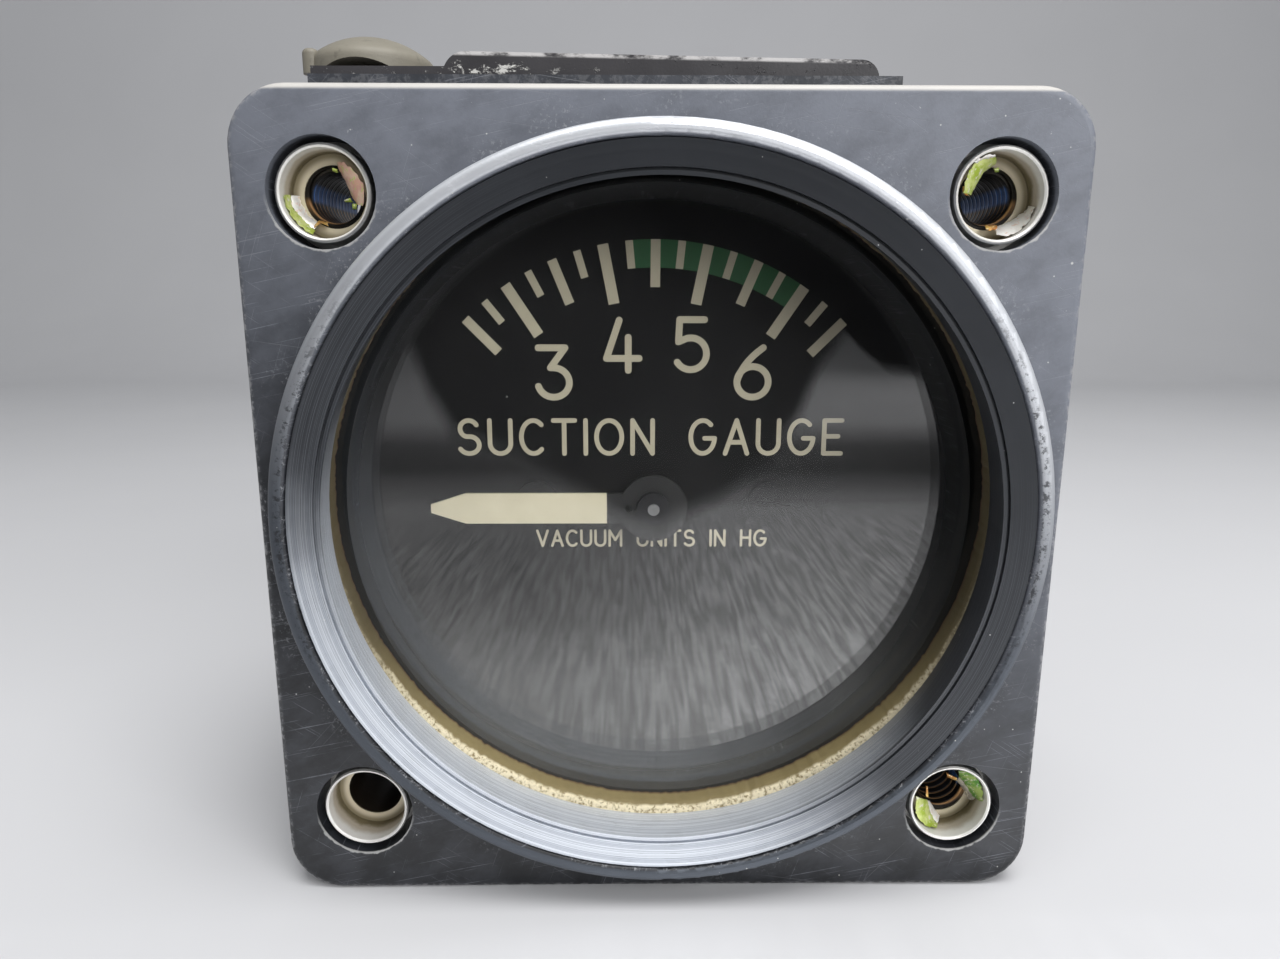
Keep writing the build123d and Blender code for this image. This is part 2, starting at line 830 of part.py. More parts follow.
# The arms are drawn at rest, half the shaft's swing before the middle of its travel
rod_direction = (0, -cos(rest_tilt), sin(rest_tilt))
with BuildPart() as link_arm:
    with BuildSketch(
        Plane(
            origin=(movement_x - arm_thickness / 2, rock_y, rock_z),
            x_dir=rod_direction,
            z_dir=(1, 0, 0),
        )
    ):
        Circle(link_arm_hub_radius)
        with Locations((0, link_arm_length)):
            Circle(link_arm_eye_radius)
        make_hull()
        Circle(rock_body_radius + fit, mode=Mode.SUBTRACT)
        with Locations((0, link_arm_length)):
            Circle(link_pin_radius + fit, mode=Mode.SUBTRACT)
    extrude(amount=arm_thickness)

arm_pin_z = rock_z - link_arm_length * cos(rest_tilt)
pin_reach = arm_thickness / 2 + 2 * running + link_thickness + running
with BuildPart() as arm_pin:
    with BuildSketch(side_plane(movement_x - arm_thickness / 2, arm_pin_y, arm_pin_z)):
        Circle(link_pin_radius)
    extrude(amount=arm_thickness / 2 + pin_reach)

rod_root = rock_shaft_radius + push_collar_wall / 2
with BuildPart() as push_arm:
    with BuildSketch(side_plane(push_x - push_collar_width / 2, rock_y, rock_z)):
        Circle(rock_shaft_radius + push_collar_wall)
        Circle(rock_shaft_radius + fit, mode=Mode.SUBTRACT)
    extrude(amount=push_collar_width)
    with BuildSketch(
        Plane(
            origin=(
                push_x,
                rock_y + rod_direction[1] * rod_root,
                rock_z + rod_direction[2] * rod_root,
            ),
            x_dir=(1, 0, 0),
            z_dir=rod_direction,
        )
    ):
        Circle(push_rod_radius)
    extrude(amount=push_rod_length + tail_thickness - rod_root)

# Stem on the capsule, with the short link that drives the arm
link_z = (arm_pin_z + movement_z) / 2
stem_rear = capsule_front_y - fit
stem_shoulder = stem_rear - stem_flange_thickness
stem_flat = link_half_width + 2 * running
with BuildPart() as capsule_stem:
    with BuildSketch(Plane(origin=(movement_x, 0, movement_z))):
        with BuildLine():
            Polyline(*tube(0, stem_flange_radius, stem_shoulder, stem_rear), close=True)
        make_face()
        with BuildLine():
            Polyline(*tube(0, stem_radius, stem_pin_y + stem_flat, stem_shoulder), close=True)
        make_face()
    revolve(axis=Axis((movement_x, 0, movement_z), (0, 1, 0)))
    with BuildSketch(side_plane(movement_x - arm_thickness / 2, stem_pin_y, movement_z)):
        Circle(stem_radius)
        Rectangle(stem_flat, 2 * stem_radius, align=(Align.MIN, Align.CENTER))
        Circle(link_pin_radius + fit, mode=Mode.SUBTRACT)
    extrude(amount=arm_thickness)

with BuildPart() as stem_pin:
    with BuildSketch(side_plane(movement_x - arm_thickness / 2, stem_pin_y, movement_z)):
        Circle(link_pin_radius)
    extrude(amount=arm_thickness / 2 + pin_reach)

with BuildPart() as link:
    with BuildSketch(side_plane(movement_x + arm_thickness / 2 + running, arm_pin_y, link_z)):
        Circle(link_half_width)
        with Locations((link_length, 0)):
            Circle(link_half_width)
        make_hull()
        Circle(link_pin_radius + link_play, mode=Mode.SUBTRACT)
        with Locations((link_length, movement_z - link_z)):
            Circle(link_pin_radius + running, mode=Mode.SUBTRACT)
    extrude(amount=link_thickness)

# Capsule: two corrugated cells on one neck, closed and soldered to the port's nose
cell = (capsule_rear_y - capsule_front_y - capsule_neck_length) / 2


def cell_side(y_face, inward):
    """The corrugated face of a cell from its centre outwards, dished towards the rim."""
    waves = 2 * capsule_waves
    face_radius = capsule_radius - capsule_rim_width
    rise = cell / 2 - capsule_rim_half
    points = [(capsule_neck_radius, y_face)]
    for index in range(1, waves):
        share = index / waves
        reach = capsule_neck_radius + (face_radius - capsule_neck_radius) * share
        wave = capsule_wave if index % 2 else -capsule_wave / 2
        points.append((reach, y_face + inward * (wave + (rise / 2) * share)))
    points.append((face_radius, y_face + inward * rise))
    points.append((capsule_radius, y_face + inward * rise))
    return points


cell_faces = (
    (capsule_front_y, 1),
    (capsule_front_y + cell, -1),
    (capsule_rear_y - cell, 1),
    (capsule_rear_y, -1),
)
capsule_outline = [(0, capsule_front_y)]
for order, (y_face, inward) in enumerate(cell_faces):
    side = cell_side(y_face, inward)
    capsule_outline += side if order % 2 == 0 else side[::-1]
capsule_outline += [
    (capsule_stud_radius, capsule_rear_y),
    (capsule_stud_radius, capsule_rear_y + capsule_stud_length),
    (0, capsule_rear_y + capsule_stud_length),
]
capsule = turned(capsule_outline, [(movement_x, movement_z)])

# Suction port through the case's back
hex_front = barrel_length + port_seal_thickness
port_end = hex_front + port_hex_height
with BuildPart() as port_fitting:
    with BuildSketch(front_plane(hex_front, movement_x, movement_z)):
        RegularPolygon(port_flats / 2, 6, major_radius=False)
    extrude(amount=-port_hex_height)
    chamfer(port_fitting.faces().sort_by(Axis.Y)[-1].edges(), port_hex_chamfer)
    with BuildSketch(front_plane(port_nose_y, movement_x, movement_z)):
        Circle(port_shank_radius)
    extrude(amount=-(hex_front - port_nose_y))
    with BuildSketch(front_plane(port_end, movement_x, movement_z)):
        Circle(port_thread_radius)
    extrude(amount=port_depth, mode=Mode.SUBTRACT)
    with BuildSketch(front_plane(port_nose_y, movement_x, movement_z)):
        Circle(capsule_stud_radius + fit)
    extrude(amount=-(port_end - port_depth - port_nose_y), mode=Mode.SUBTRACT)

port_seal = turned(
    tube(port_shank_radius + fit, port_seal_radius, barrel_length, hex_front),
    [(movement_x, movement_z)],
)
with BuildPart() as port_nut:
    with BuildSketch(front_plane(back_inner - port_nut_height, movement_x, movement_z)):
        RegularPolygon(port_nut_flats / 2, 6, major_radius=False)
        Circle(port_shank_radius + fit, mode=Mode.SUBTRACT)
    extrude(amount=-port_nut_height)

vent_end = barrel_length + vent_head_height
vent_plug = turned(
    [
        (vent_bore_radius, back_inner),
        (vent_shank_radius, back_inner),
        (vent_shank_radius, barrel_length),
        (vent_head_radius, barrel_length),
        (vent_head_radius, vent_end),
        (vent_bore_radius, vent_end),
    ],
    [(movement_x, vent_z)],
)
screen_middle = barrel_length + vent_head_height / 2
vent_screen = turned(
    tube(
        0,
        vent_bore_radius - fit,
        screen_middle - vent_screen_thickness / 2,
        screen_middle + vent_screen_thickness / 2,
    ),
    [(movement_x, vent_z)],
)

# Mounting inserts: four sleeves, and nuts and spring clips in three of them
sleeve_bore = sleeve_radius - sleeve_wall
sleeve_flange_end = flange_thickness + sleeve_flange_thickness
insert_sleeves = turned(
    [
        (sleeve_bore, sleeve_front_y + sleeve_rim_round),
        (sleeve_bore + sleeve_rim_round, sleeve_front_y),
        (sleeve_radius - sleeve_rim_round, sleeve_front_y),
        (sleeve_radius, sleeve_front_y + sleeve_rim_round),
        (sleeve_radius, flange_thickness),
        (sleeve_flange_radius, flange_thickness),
        (sleeve_flange_radius, sleeve_flange_end),
        (sleeve_radius, sleeve_flange_end),
        (sleeve_radius, sleeve_end_y),
        (sleeve_rear_bore, sleeve_end_y),
        (sleeve_rear_bore, sleeve_ledge_y),
        (sleeve_bore, sleeve_ledge_y),
    ],
    mount_places,
)
# Top left, top right and bottom right; the bottom left insert has lost its nut and clip
nut_places = [mount_places[0], mount_places[1], mount_places[3]]
insert_nuts = turned(
    [
        (nut_mouth_radius, nut_front_y),
        (sleeve_rear_bore - fit, nut_front_y),
        (sleeve_rear_bore - fit, sleeve_end_y),
        (nut_bore_radius, sleeve_end_y),
        (nut_bore_radius, nut_front_y + nut_mouth_radius - nut_bore_radius),
    ],
    nut_places,
)
clip_outer = sleeve_bore - fit
clip_inner = sleeve_rear_bore + running
# The bent flaps of each clip, as middle angle and span in degrees
clip_flaps = [((233, 92), (20, 76)), ((143, 78), (292, 100)), ((190, 90), (42, 80))]
with BuildPart() as spring_clips:
    for (x, z), flaps in zip(nut_places, clip_flaps):
        with BuildSketch(front_plane(sleeve_ledge_y - clip_base_thickness, x, z)):
            Circle(clip_outer)
            Circle(clip_inner, mode=Mode.SUBTRACT)
        extrude(amount=-clip_base_thickness)
        for middle, span in flaps:
            start = radians(middle + span / 2)
            with BuildSketch(
                Plane(
                    origin=(x, 0, z),
                    x_dir=(cos(start), 0, sin(start)),
                    z_dir=(-sin(start), 0, cos(start)),
                )
            ):
                with BuildLine():
                    Polyline(
                        (clip_outer - clip_flap_thickness, clip_front_y),
                        (clip_outer, clip_front_y),
                        (clip_outer, clip_bend_y),
                        (clip_inner + clip_flap_thickness, sleeve_ledge_y - clip_base_thickness),
                        (clip_inner, sleeve_ledge_y - clip_base_thickness),
                        (clip_outer - clip_flap_thickness, clip_bend_y),
                        close=True,
                    )
                make_face()
            revolve(axis=Axis((x, 0, z), (0, 1, 0)), revolution_arc=span)

# Light fittings on the pad
with BuildPart() as lamp_plate:
    with BuildSketch(Plane.XY.offset(pad_top)):
        with BuildLine():
            Polyline(
                (lamp_plate_left, lamp_plate_front),
                (lamp_plate_left + lamp_plate_width, lamp_plate_front),
                (lamp_plate_left + lamp_plate_width, block_front - block_gap),
                (block_left - block_gap, block_front - block_gap),
                (block_left - block_gap, lamp_plate_front + lamp_plate_depth),
                (lamp_plate_left, lamp_plate_front + lamp_plate_depth),
                close=True,
            )
        make_face()
        with Locations((cap_x, cap_y)):
            Circle(cap_plug_radius + fit, mode=Mode.SUBTRACT)
    extrude(amount=lamp_plate_thickness)

cap_bottom = pad_top + lamp_plate_thickness
cap_rise = cap_height - cap_edge_height
dome_radius = (cap_radius**2 + cap_rise**2) / (2 * cap_rise)
dome_middle = asin(cap_radius / dome_radius) / 2
cap_tab_x = cap_x + cap_radius * cos(radians(cap_tab_angle))
cap_tab_y = cap_y + cap_radius * sin(radians(cap_tab_angle))
with BuildPart() as rubber_cap:
    with BuildSketch(front_plane(cap_y, cap_x, cap_bottom)):
        with BuildLine():
            ThreePointArc(
                (cap_radius, cap_edge_height),
                (
                    dome_radius * sin(dome_middle),
                    cap_height - dome_radius * (1 - cos(dome_middle)),
                ),
                (0, cap_height),
            )
            Polyline((0, cap_height), (0, 0), (cap_radius, 0), (cap_radius, cap_edge_height))
        make_face()
        fillet(vertices().group_by(Axis.X)[-1].sort_by(Axis.Y)[-1], cap_edge_round)
    revolve(axis=Axis((cap_x, cap_y, cap_bottom), (0, 0, 1)))
    with BuildSketch(front_plane(cap_tab_y, cap_tab_x, cap_bottom)):
        Rectangle(cap_tab_radius, cap_tab_height, align=(Align.MIN, Align.MIN))
        fillet(vertices().group_by(Axis.X)[-1].sort_by(Axis.Y)[-1], cap_tab_round)
    revolve(axis=Axis((cap_tab_x, cap_tab_y, cap_bottom), (0, 0, 1)))
    with BuildSketch(Plane.XY.offset(pad_top - cap_plug_length + end_play)):
        with Locations((cap_x, cap_y)):
            Circle(cap_plug_radius)
    extrude(amount=lamp_plate_thickness + cap_plug_length - end_play)
    with BuildSketch(front_plane(cap_y - cap_radius, cap_x, cap_bottom)):
        with BuildLine():
            ThreePointArc(
                (-cap_arch_width / 2, 0), (0, cap_arch_height), (cap_arch_width / 2, 0)
            )
            Line((cap_arch_width / 2, 0), (-cap_arch_width / 2, 0))
        make_face()
    extrude(amount=-(cap_radius - cap_plug_radius), mode=Mode.SUBTRACT)

with BuildPart() as light_block:
    with BuildSketch(front_plane(block_front)):
        with BuildLine():
            Polyline(
                (block_left, pad_top),
                (block_left, pad_top + block_height_left),
                (block_right, pad_top + block_height_right),
                (block_right, pad_top),
                close=True,
            )
        make_face()
    extrude(amount=-block_depth)
    top_edges = light_block.edges().filter_by(Axis.Y).sort_by(Axis.Z)[-2:].sort_by(Axis.X)
    fillet(top_edges[0], block_corner_left)
    top_edges = light_block.edges().filter_by(Axis.Y).sort_by(Axis.X)[-2:].sort_by(Axis.Z)
    fillet(top_edges[-1], block_corner_right)
    with BuildSketch(Plane.XY.offset(pad_top)):
        with Locations(*block_screw_places):
            Circle(block_screw_radius + fit)
    extrude(amount=2 * block_height_left, mode=Mode.SUBTRACT)
    with BuildSketch(Plane.XY.offset(block_screw_seat)):
        with Locations(*block_screw_places):
            Circle(block_screw_head_radius + running)
    extrude(amount=2 * block_height_left, mode=Mode.SUBTRACT)

with BuildPart() as block_screws:
    with BuildSketch(Plane.XY.offset(block_screw_seat)):
        with Locations(*block_screw_places):
            Circle(block_screw_head_radius)
    extrude(amount=block_screw_head_height)
    with BuildSketch(Plane.XY.offset(block_screw_seat - block_screw_length)):
        with Locations(*block_screw_places):
            Circle(block_screw_radius)
    extrude(amount=block_screw_length)
    with BuildSketch(Plane.XY.offset(block_screw_seat + block_screw_head_height)):
        with Locations(*block_screw_places):
            Rectangle(2 * block_screw_head_radius, slot_width)
    extrude(amount=-slot_depth, mode=Mode.SUBTRACT)

pieces = {
    "case": case,
    "retaining_ring": retaining_ring,
    "glass_gasket": glass_gasket,
    "glass": glass,
    "spacer_ring": spacer_ring,
    "dial": dial,
    "dial_screws": dial_screws,
    "front_plate": front_plate,
    "rear_plate": rear_plate,
    "pillars": pillars,
    "plate_screws": plate_screws,
    "case_posts": case_posts,
    "post_nuts": post_nuts,
    "seal_washers": seal_washers,
    "case_screws": case_screws,
    "stop_pins": stop_pins,
    "sector_gear": sector_gear,
    "sector_arbor": sector_arbor,
    "sector_tail": sector_tail,
    "pinion_arbor": pinion_arbor,
    "pointer": pointer,
    "pointer_collet": pointer_collet,
    "hairspring": hairspring,
    "hairspring_collet": hairspring_collet,
    "hairspring_stud": hairspring_stud,
    "rock_bracket": rock_bracket,
    "bracket_screws": bracket_screws,
    "rock_shaft": rock_shaft,
    "link_arm": link_arm,
    "arm_pin": arm_pin,
    "push_arm": push_arm,
    "capsule_stem": capsule_stem,
    "stem_pin": stem_pin,
    "link": link,
    "capsule": capsule,
    "port_fitting": port_fitting,
    "port_seal": port_seal,
    "port_nut": port_nut,
    "vent_plug": vent_plug,
    "vent_screen": vent_screen,
    "insert_sleeves": insert_sleeves,
    "insert_nuts": insert_nuts,
    "spring_clips": spring_clips,
    "lamp_plate": lamp_plate,
    "rubber_cap": rubber_cap,
    "light_block": light_block,
    "block_screws": block_screws,
}
os.makedirs("parts", exist_ok=True)
for name, piece in pieces.items():
    piece.part.label = name
    export_step(piece.part, f"parts/{name}.step")
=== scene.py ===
"""Looks of the suction gauge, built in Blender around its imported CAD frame.

The front faces -Y and +Z is up. Sizes are written in millimetres and turned into Blender's metres where a
mesh, a light or the camera is made.
"""

import json
import math

import bpy
from mathutils import Matrix, Vector, geometry, noise

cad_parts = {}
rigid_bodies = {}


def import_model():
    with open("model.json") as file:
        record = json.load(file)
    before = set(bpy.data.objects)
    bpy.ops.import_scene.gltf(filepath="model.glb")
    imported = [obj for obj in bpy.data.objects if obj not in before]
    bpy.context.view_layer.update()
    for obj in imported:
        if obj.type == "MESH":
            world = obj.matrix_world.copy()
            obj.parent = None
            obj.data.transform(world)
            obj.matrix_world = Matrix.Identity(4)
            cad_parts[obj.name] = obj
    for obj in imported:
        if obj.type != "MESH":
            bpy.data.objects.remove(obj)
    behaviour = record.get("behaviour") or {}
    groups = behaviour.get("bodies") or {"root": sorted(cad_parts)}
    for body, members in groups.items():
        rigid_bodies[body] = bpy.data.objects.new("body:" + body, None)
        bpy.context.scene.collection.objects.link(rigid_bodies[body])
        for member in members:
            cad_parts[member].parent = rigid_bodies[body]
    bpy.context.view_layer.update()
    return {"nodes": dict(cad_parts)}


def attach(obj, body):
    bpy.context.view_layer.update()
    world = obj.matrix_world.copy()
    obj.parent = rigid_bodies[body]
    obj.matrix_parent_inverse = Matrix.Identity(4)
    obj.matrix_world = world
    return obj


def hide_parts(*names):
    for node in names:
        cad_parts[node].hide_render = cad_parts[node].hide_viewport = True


for leftover in list(bpy.data.objects):
    bpy.data.objects.remove(leftover)

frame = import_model()
nodes = frame["nodes"]
MM = 0.001

# Camera, placed from the photograph's perspective
PHOTO_WIDTH = 1280
FOCAL_PIXELS = 859
SENSOR_WIDTH = 36.0
CAMERA_PLACE = (-2.31, -61.96, 16.47)
CAMERA_VIEW = (0.01089, 0.97845, -0.20618)
CAMERA_UP = (0.00087, 0.20619, 0.97851)

# Places and sizes on the object that the looks follow, the same as in the CAD source
FLANGE_WIDTH = 59.7
FLANGE_HEIGHT = 61.4
FLANGE_CORNER = 4.2
FLANGE_THICKNESS = 3.2
MOUNT_REACH = 23.57
MOUNT_HOLE_RADIUS = 3.8
THREAD_PITCH = 0.79
FLAP_REACH = 2.98
FLAP_THICKNESS = 0.10
COLLAR_FRONT = -3.0
MOVEMENT = (-0.45, -0.3)
DIAL_FRONT = 8.2
GLASS_FRONT = 4.0
GLASS_RADIUS = 26.6
GASKET_FRONT = 2.0
GASKET_INNER = 25.6
GASKET_SLUMP = 1.03
FLOOR_Z = -FLANGE_HEIGHT / 2
CARD_Y = -75.0
PAD_TOP = 31.9
BLOCK_TOP = 33.9
BLOCK_SLOPE = 0.5 / 31.7
BLOCK_LEFT = -15.9
DEBRIS_PLACE = -12.6

# Dial print
TICK_OUTER = 21.3
TICKS = {
    "major": (16.65, 0.86),
    "medium": (17.65, 0.76),
    "small": (19.15, 0.6),
}
SCALE_FROM = 2.5
SCALE_TO = 6.5
SCALE_MIDDLE = 4.5
MIDDLE_ANGLE = 0.3
DEGREES_PER_UNIT = 22.45
GREEN_FROM = 4.25
GREEN_TO = 6.0
PRINT_THICKNESS = 0.02
NUMERALS = (
    ("3", -8.58, 10.63),
    ("4", -2.93, 12.8),
    ("5", 2.63, 12.85),
    ("6", 7.53, 10.65),
)
NUMERAL_HEIGHT = 4.5
NUMERAL_PEN = 0.54
LEGENDS = (
    ("SUCTION GAUGE", -0.68, 5.4, 31.6, 3.1, 0.38),
    ("VACUUM UNITS IN HG", -0.55, -3.15, 19.3, 1.5, 0.21),
)


def vector_mm(values):
    """A point in millimetres as Blender's metres."""
    return Vector(values) * MM


class Graph:
    """A material's node graph, written as calls: a socket given as a value is linked, any other value is set."""

    def __init__(self, name):
        self.material = bpy.data.materials.new(name)
        self.material.use_nodes = True
        self.tree = self.material.node_tree
        self.tree.nodes.clear()
        self.output = self.tree.nodes.new("ShaderNodeOutputMaterial")
        self.shader = self.tree.nodes.new("ShaderNodeBsdfPrincipled")
        self.tree.links.new(self.shader.outputs[0], self.output.inputs["Surface"])

    def put(self, socket, value):
        if isinstance(value, bpy.types.NodeSocket):
            self.tree.links.new(value, socket)
        elif socket.type == "RGBA":
            socket.default_value = (*value[:3], 1.0)
        else:
            socket.default_value = value

    def node(self, kind, inputs, **settings):
        made = self.tree.nodes.new("ShaderNode" + kind)
        for key, value in settings.items():
            setattr(made, key, value)
        for key, value in inputs.items():
            self.put(made.inputs[key], value)
        return made

    def surface(self, **inputs):
        """Sets the shader's own inputs, with underscores for the spaces in their names."""
        for key, value in inputs.items():
            self.put(self.shader.inputs[key.replace("_", " ")], value)
        return self.material

    def point(self, scale=(1, 1, 1), turn=(0, 0, 0)):
        """The place on the object in millimetres, turned and then scaled."""
        place = self.node("TexCoord", {}).outputs["Object"]
        turned = self.node("Mapping", {"Vector": place, "Rotation": [math.radians(t) for t in turn]})
        return self.node(
            "VectorMath",
            {0: turned.outputs[0], 1: [s / MM for s in scale]},
            operation="MULTIPLY",
        ).outputs[0]

    def axes(self):
        split = self.node("SeparateXYZ", {0: self.point()})
        return split.outputs[0], split.outputs[1], split.outputs[2]

    def calc(self, operation, a, b=0.0):
        return self.node("Math", {0: a, 1: b}, operation=operation).outputs[0]

    def reach(self, x, z, centre=(0.0, 0.0)):
        """The distance from a line along Y through centre."""
        across = self.calc("SUBTRACT", x, centre[0])
        up = self.calc("SUBTRACT", z, centre[1])
        return self.calc(
            "SQRT", self.calc("ADD", self.calc("POWER", across, 2.0), self.calc("POWER", up, 2.0))
        )

    def fade(self, value, low, high, to_low=0.0, to_high=1.0):
        """Smoothly from to_low, where value is low, to to_high, where it is high."""
        return self.node(
            "MapRange",
            {"Value": value, "From Min": low, "From Max": high, "To Min": to_low, "To Max": to_high},
            interpolation_type="SMOOTHSTEP",
        ).outputs[0]

    def both(self, a, b):
        return self.calc("MULTIPLY", a, b)

    def either(self, a, b):
        return self.calc("MAXIMUM", a, b)

    def mix(self, share, a, b):
        """Colour a where share is 0 and b where it is 1."""
        return self.node("Mix", {0: share, 6: a, 7: b}, data_type="RGBA").outputs[2]

    def level(self, share, a, b):
        """Number a where share is 0 and b where it is 1."""
        return self.node("Mix", {0: share, 2: a, 3: b}, data_type="FLOAT").outputs[0]

    def noise(self, point, size, detail=2.0, roughness=0.5):
        """Cloudy noise whose features are about size millimetres across."""
        inputs = {"Vector": point, "Scale": 1.0 / size, "Detail": detail, "Roughness": roughness}
        return self.node("TexNoise", inputs).outputs[0]

    def rings(self, value, size, detail=3.0):
        """Noise along one number, for turned or brushed lines about size millimetres apart."""
        inputs = {"W": value, "Scale": 1.0 / size, "Detail": detail, "Roughness": 0.6}
        return self.node("TexNoise", inputs, noise_dimensions="1D").outputs[0]

    def specks(self, point, spacing, radius, share):
        """Small round specks on a share of the cells of a grid with that spacing."""
        cells = self.node("TexVoronoi", {"Vector": point, "Scale": 1.0 / spacing})
        near = self.fade(cells.outputs["Distance"], radius / spacing, 0.4 * radius / spacing)
        drawn = self.node("SeparateColor", {0: cells.outputs["Color"]}).outputs[0]
        return self.both(near, self.calc("LESS_THAN", drawn, share))

    def scratches(self, turn, length, width, share):
        """Fine straight scratches across a face that looks along Y."""
        place = self.point(turn=(0, turn, 0), scale=(1 / length, 1 / length, 1 / width))
        lines = self.noise(place, 1.0, 1.0)
        return self.fade(lines, 1.0 - share, 1.0 - share + 0.04)

    def bump(self, height, distance, normal=None):
        """Relief in millimetres."""
        inputs = {"Height": height, "Distance": distance * MM, "Strength": 1.0}
        if normal is not None:
            inputs["Normal"] = normal
        return self.node("Bump", inputs).outputs[0]


def case_material():
    """Satin black paint, scuffed and worn pale on its edges and pale under its holes, with a painted sheen towards
    the upper right, painted highlights on its top edge and the top of its rim, and painted shade on the rim's inner
    edge at the sides.
    """
    g = Graph("case_black")
    x, y, z = g.axes()
    wide = g.calc("ABSOLUTE", x)
    tall = g.calc("ABSOLUTE", z)
    q_wide = g.calc("SUBTRACT", wide, FLANGE_WIDTH / 2 - FLANGE_CORNER)
    q_tall = g.calc("SUBTRACT", tall, FLANGE_HEIGHT / 2 - FLANGE_CORNER)
    corner = g.reach(g.calc("MAXIMUM", q_wide, 0.0), g.calc("MAXIMUM", q_tall, 0.0))
    inside = g.calc("MINIMUM", g.calc("MAXIMUM", q_wide, q_tall), 0.0)
    to_edge = g.calc("SUBTRACT", g.calc("ADD", corner, inside), FLANGE_CORNER)
    to_hole = g.reach(wide, tall, (MOUNT_REACH, MOUNT_REACH))
    side = g.calc("MULTIPLY", g.calc("SIGN", z), MOUNT_REACH)
    below_hole = g.fade(g.calc("SUBTRACT", z, side), 0.2, -2.6)
    to_axis = g.reach(x, z)
    in_flange = g.fade(y, FLANGE_THICKNESS + 0.05, FLANGE_THICKNESS)
    cloudy = g.noise(g.point(), 9.0, 4.0)
    smudge = g.noise(g.point((1, 1, 1.6), (0, 25, 0)), 4.0, 5.0, 0.65)
    grain = g.noise(g.point(), 0.25, 3.0, 0.6)
    chips = g.fade(g.noise(g.point(), 0.5, 5.0, 0.7), 0.48, 0.58)
    front = g.fade(y, 0.9, 0.35)
    edge = g.both(g.both(in_flange, g.either(front, g.fade(y, 2.7, 3.1))), g.fade(to_edge, -0.55, -0.1))
    edge = g.both(edge, g.fade(to_edge, 0.15, 0.05, 0.25, 1.0))
    # Painted highlight along the top edge of the flange, in a pale worn-metal tone.
    top_edge_highlight = g.both(g.both(g.fade(y, 1.1, 0.7), g.fade(z, 30.15, 30.4)), g.fade(cloudy, 0.2, 0.5, 0.75, 1.0))
    ragged = g.calc("ADD", to_hole, g.calc("MULTIPLY", g.noise(g.point(), 0.7, 3.0), 0.5))
    hole = g.both(g.fade(ragged, MOUNT_HOLE_RADIUS + 0.42, MOUNT_HOLE_RADIUS + 0.30), below_hole)
    hole = g.both(hole, g.fade(y, 0.16, 0.06))
    rim_front = g.fade(y, COLLAR_FRONT + 0.75, COLLAR_FRONT + 0.3)
    rim = g.both(rim_front, g.fade(to_axis, 27.0, 27.15))
    # Painted sheen: the front is lightened blue-grey towards the upper right, where light falls on it, in smudgy
    # patches.
    sheen_height = g.calc("ADD", z, g.calc("MULTIPLY", x, 0.42))
    painted_sheen = g.both(g.fade(sheen_height, -16.0, 27.0), g.fade(smudge, 0.25, 0.65, 0.72, 1.0))
    painted_sheen = g.both(painted_sheen, g.level(front, 0.3, 1.0))
    fine = g.either(g.scratches(12, 9.0, 0.10, 0.34), g.scratches(-34, 6.0, 0.07, 0.31))
    fine = g.either(fine, g.scratches(71, 7.0, 0.07, 0.30))
    scuffs = g.both(fine, g.fade(smudge, 0.35, 0.6))
    long_scratches = g.either(g.scratches(-8, 22.0, 0.09, 0.27), g.scratches(48, 18.0, 0.08, 0.26))
    dust = g.either(g.specks(g.point(), 1.1, 0.07, 0.4), g.specks(g.point(), 3.1, 0.14, 0.35))
    flakes = g.both(g.fade(g.noise(g.point(), 0.9, 6.0, 0.75), 0.66, 0.7), g.fade(z, 24.0, 29.0))
    grit = g.fade(g.noise(g.point(), 0.42, 6.0, 0.8), 0.66, 0.70)
    grit = g.both(grit, g.fade(smudge, 0.35, 0.6))
    beside = g.both(g.fade(to_axis, 31.5, 28.3), g.fade(g.noise(g.point(), 3.0, 3.0), 0.42, 0.62))
    beside = g.both(beside, g.fade(g.noise(g.point(), 0.33, 5.0, 0.8), 0.55, 0.60))
    grit = g.both(g.either(grit, beside), g.level(front, 0.12, 1.0))
    black = g.mix(g.fade(smudge, 0.35, 0.65), (0.007, 0.008, 0.010), (0.026, 0.028, 0.034))
    sheened_black = g.mix(g.both(painted_sheen, in_flange), black, (0.175, 0.188, 0.222))
    sheened_black = g.mix(g.both(grit, 0.7), sheened_black, (0.36, 0.37, 0.39))
    scuffed = g.mix(g.both(scuffs, 0.6), sheened_black, (0.22, 0.23, 0.26))
    scuffed = g.mix(g.both(long_scratches, 0.5), scuffed, (0.20, 0.205, 0.22))
    bared = g.mix(g.both(g.both(edge, chips), 0.85), scuffed, (0.30, 0.30, 0.31))
    bared = g.mix(top_edge_highlight, bared, (0.56, 0.54, 0.51))
    # Painted highlight on the collar rim: dark below, near white towards the top and the right.
    painted_light = g.fade(g.calc("ADD", z, g.calc("MULTIPLY", x, 0.22)), -6.0, 23.0)
    rim_colour = g.mix(painted_light, (0.085, 0.095, 0.112), (0.78, 0.80, 0.84))
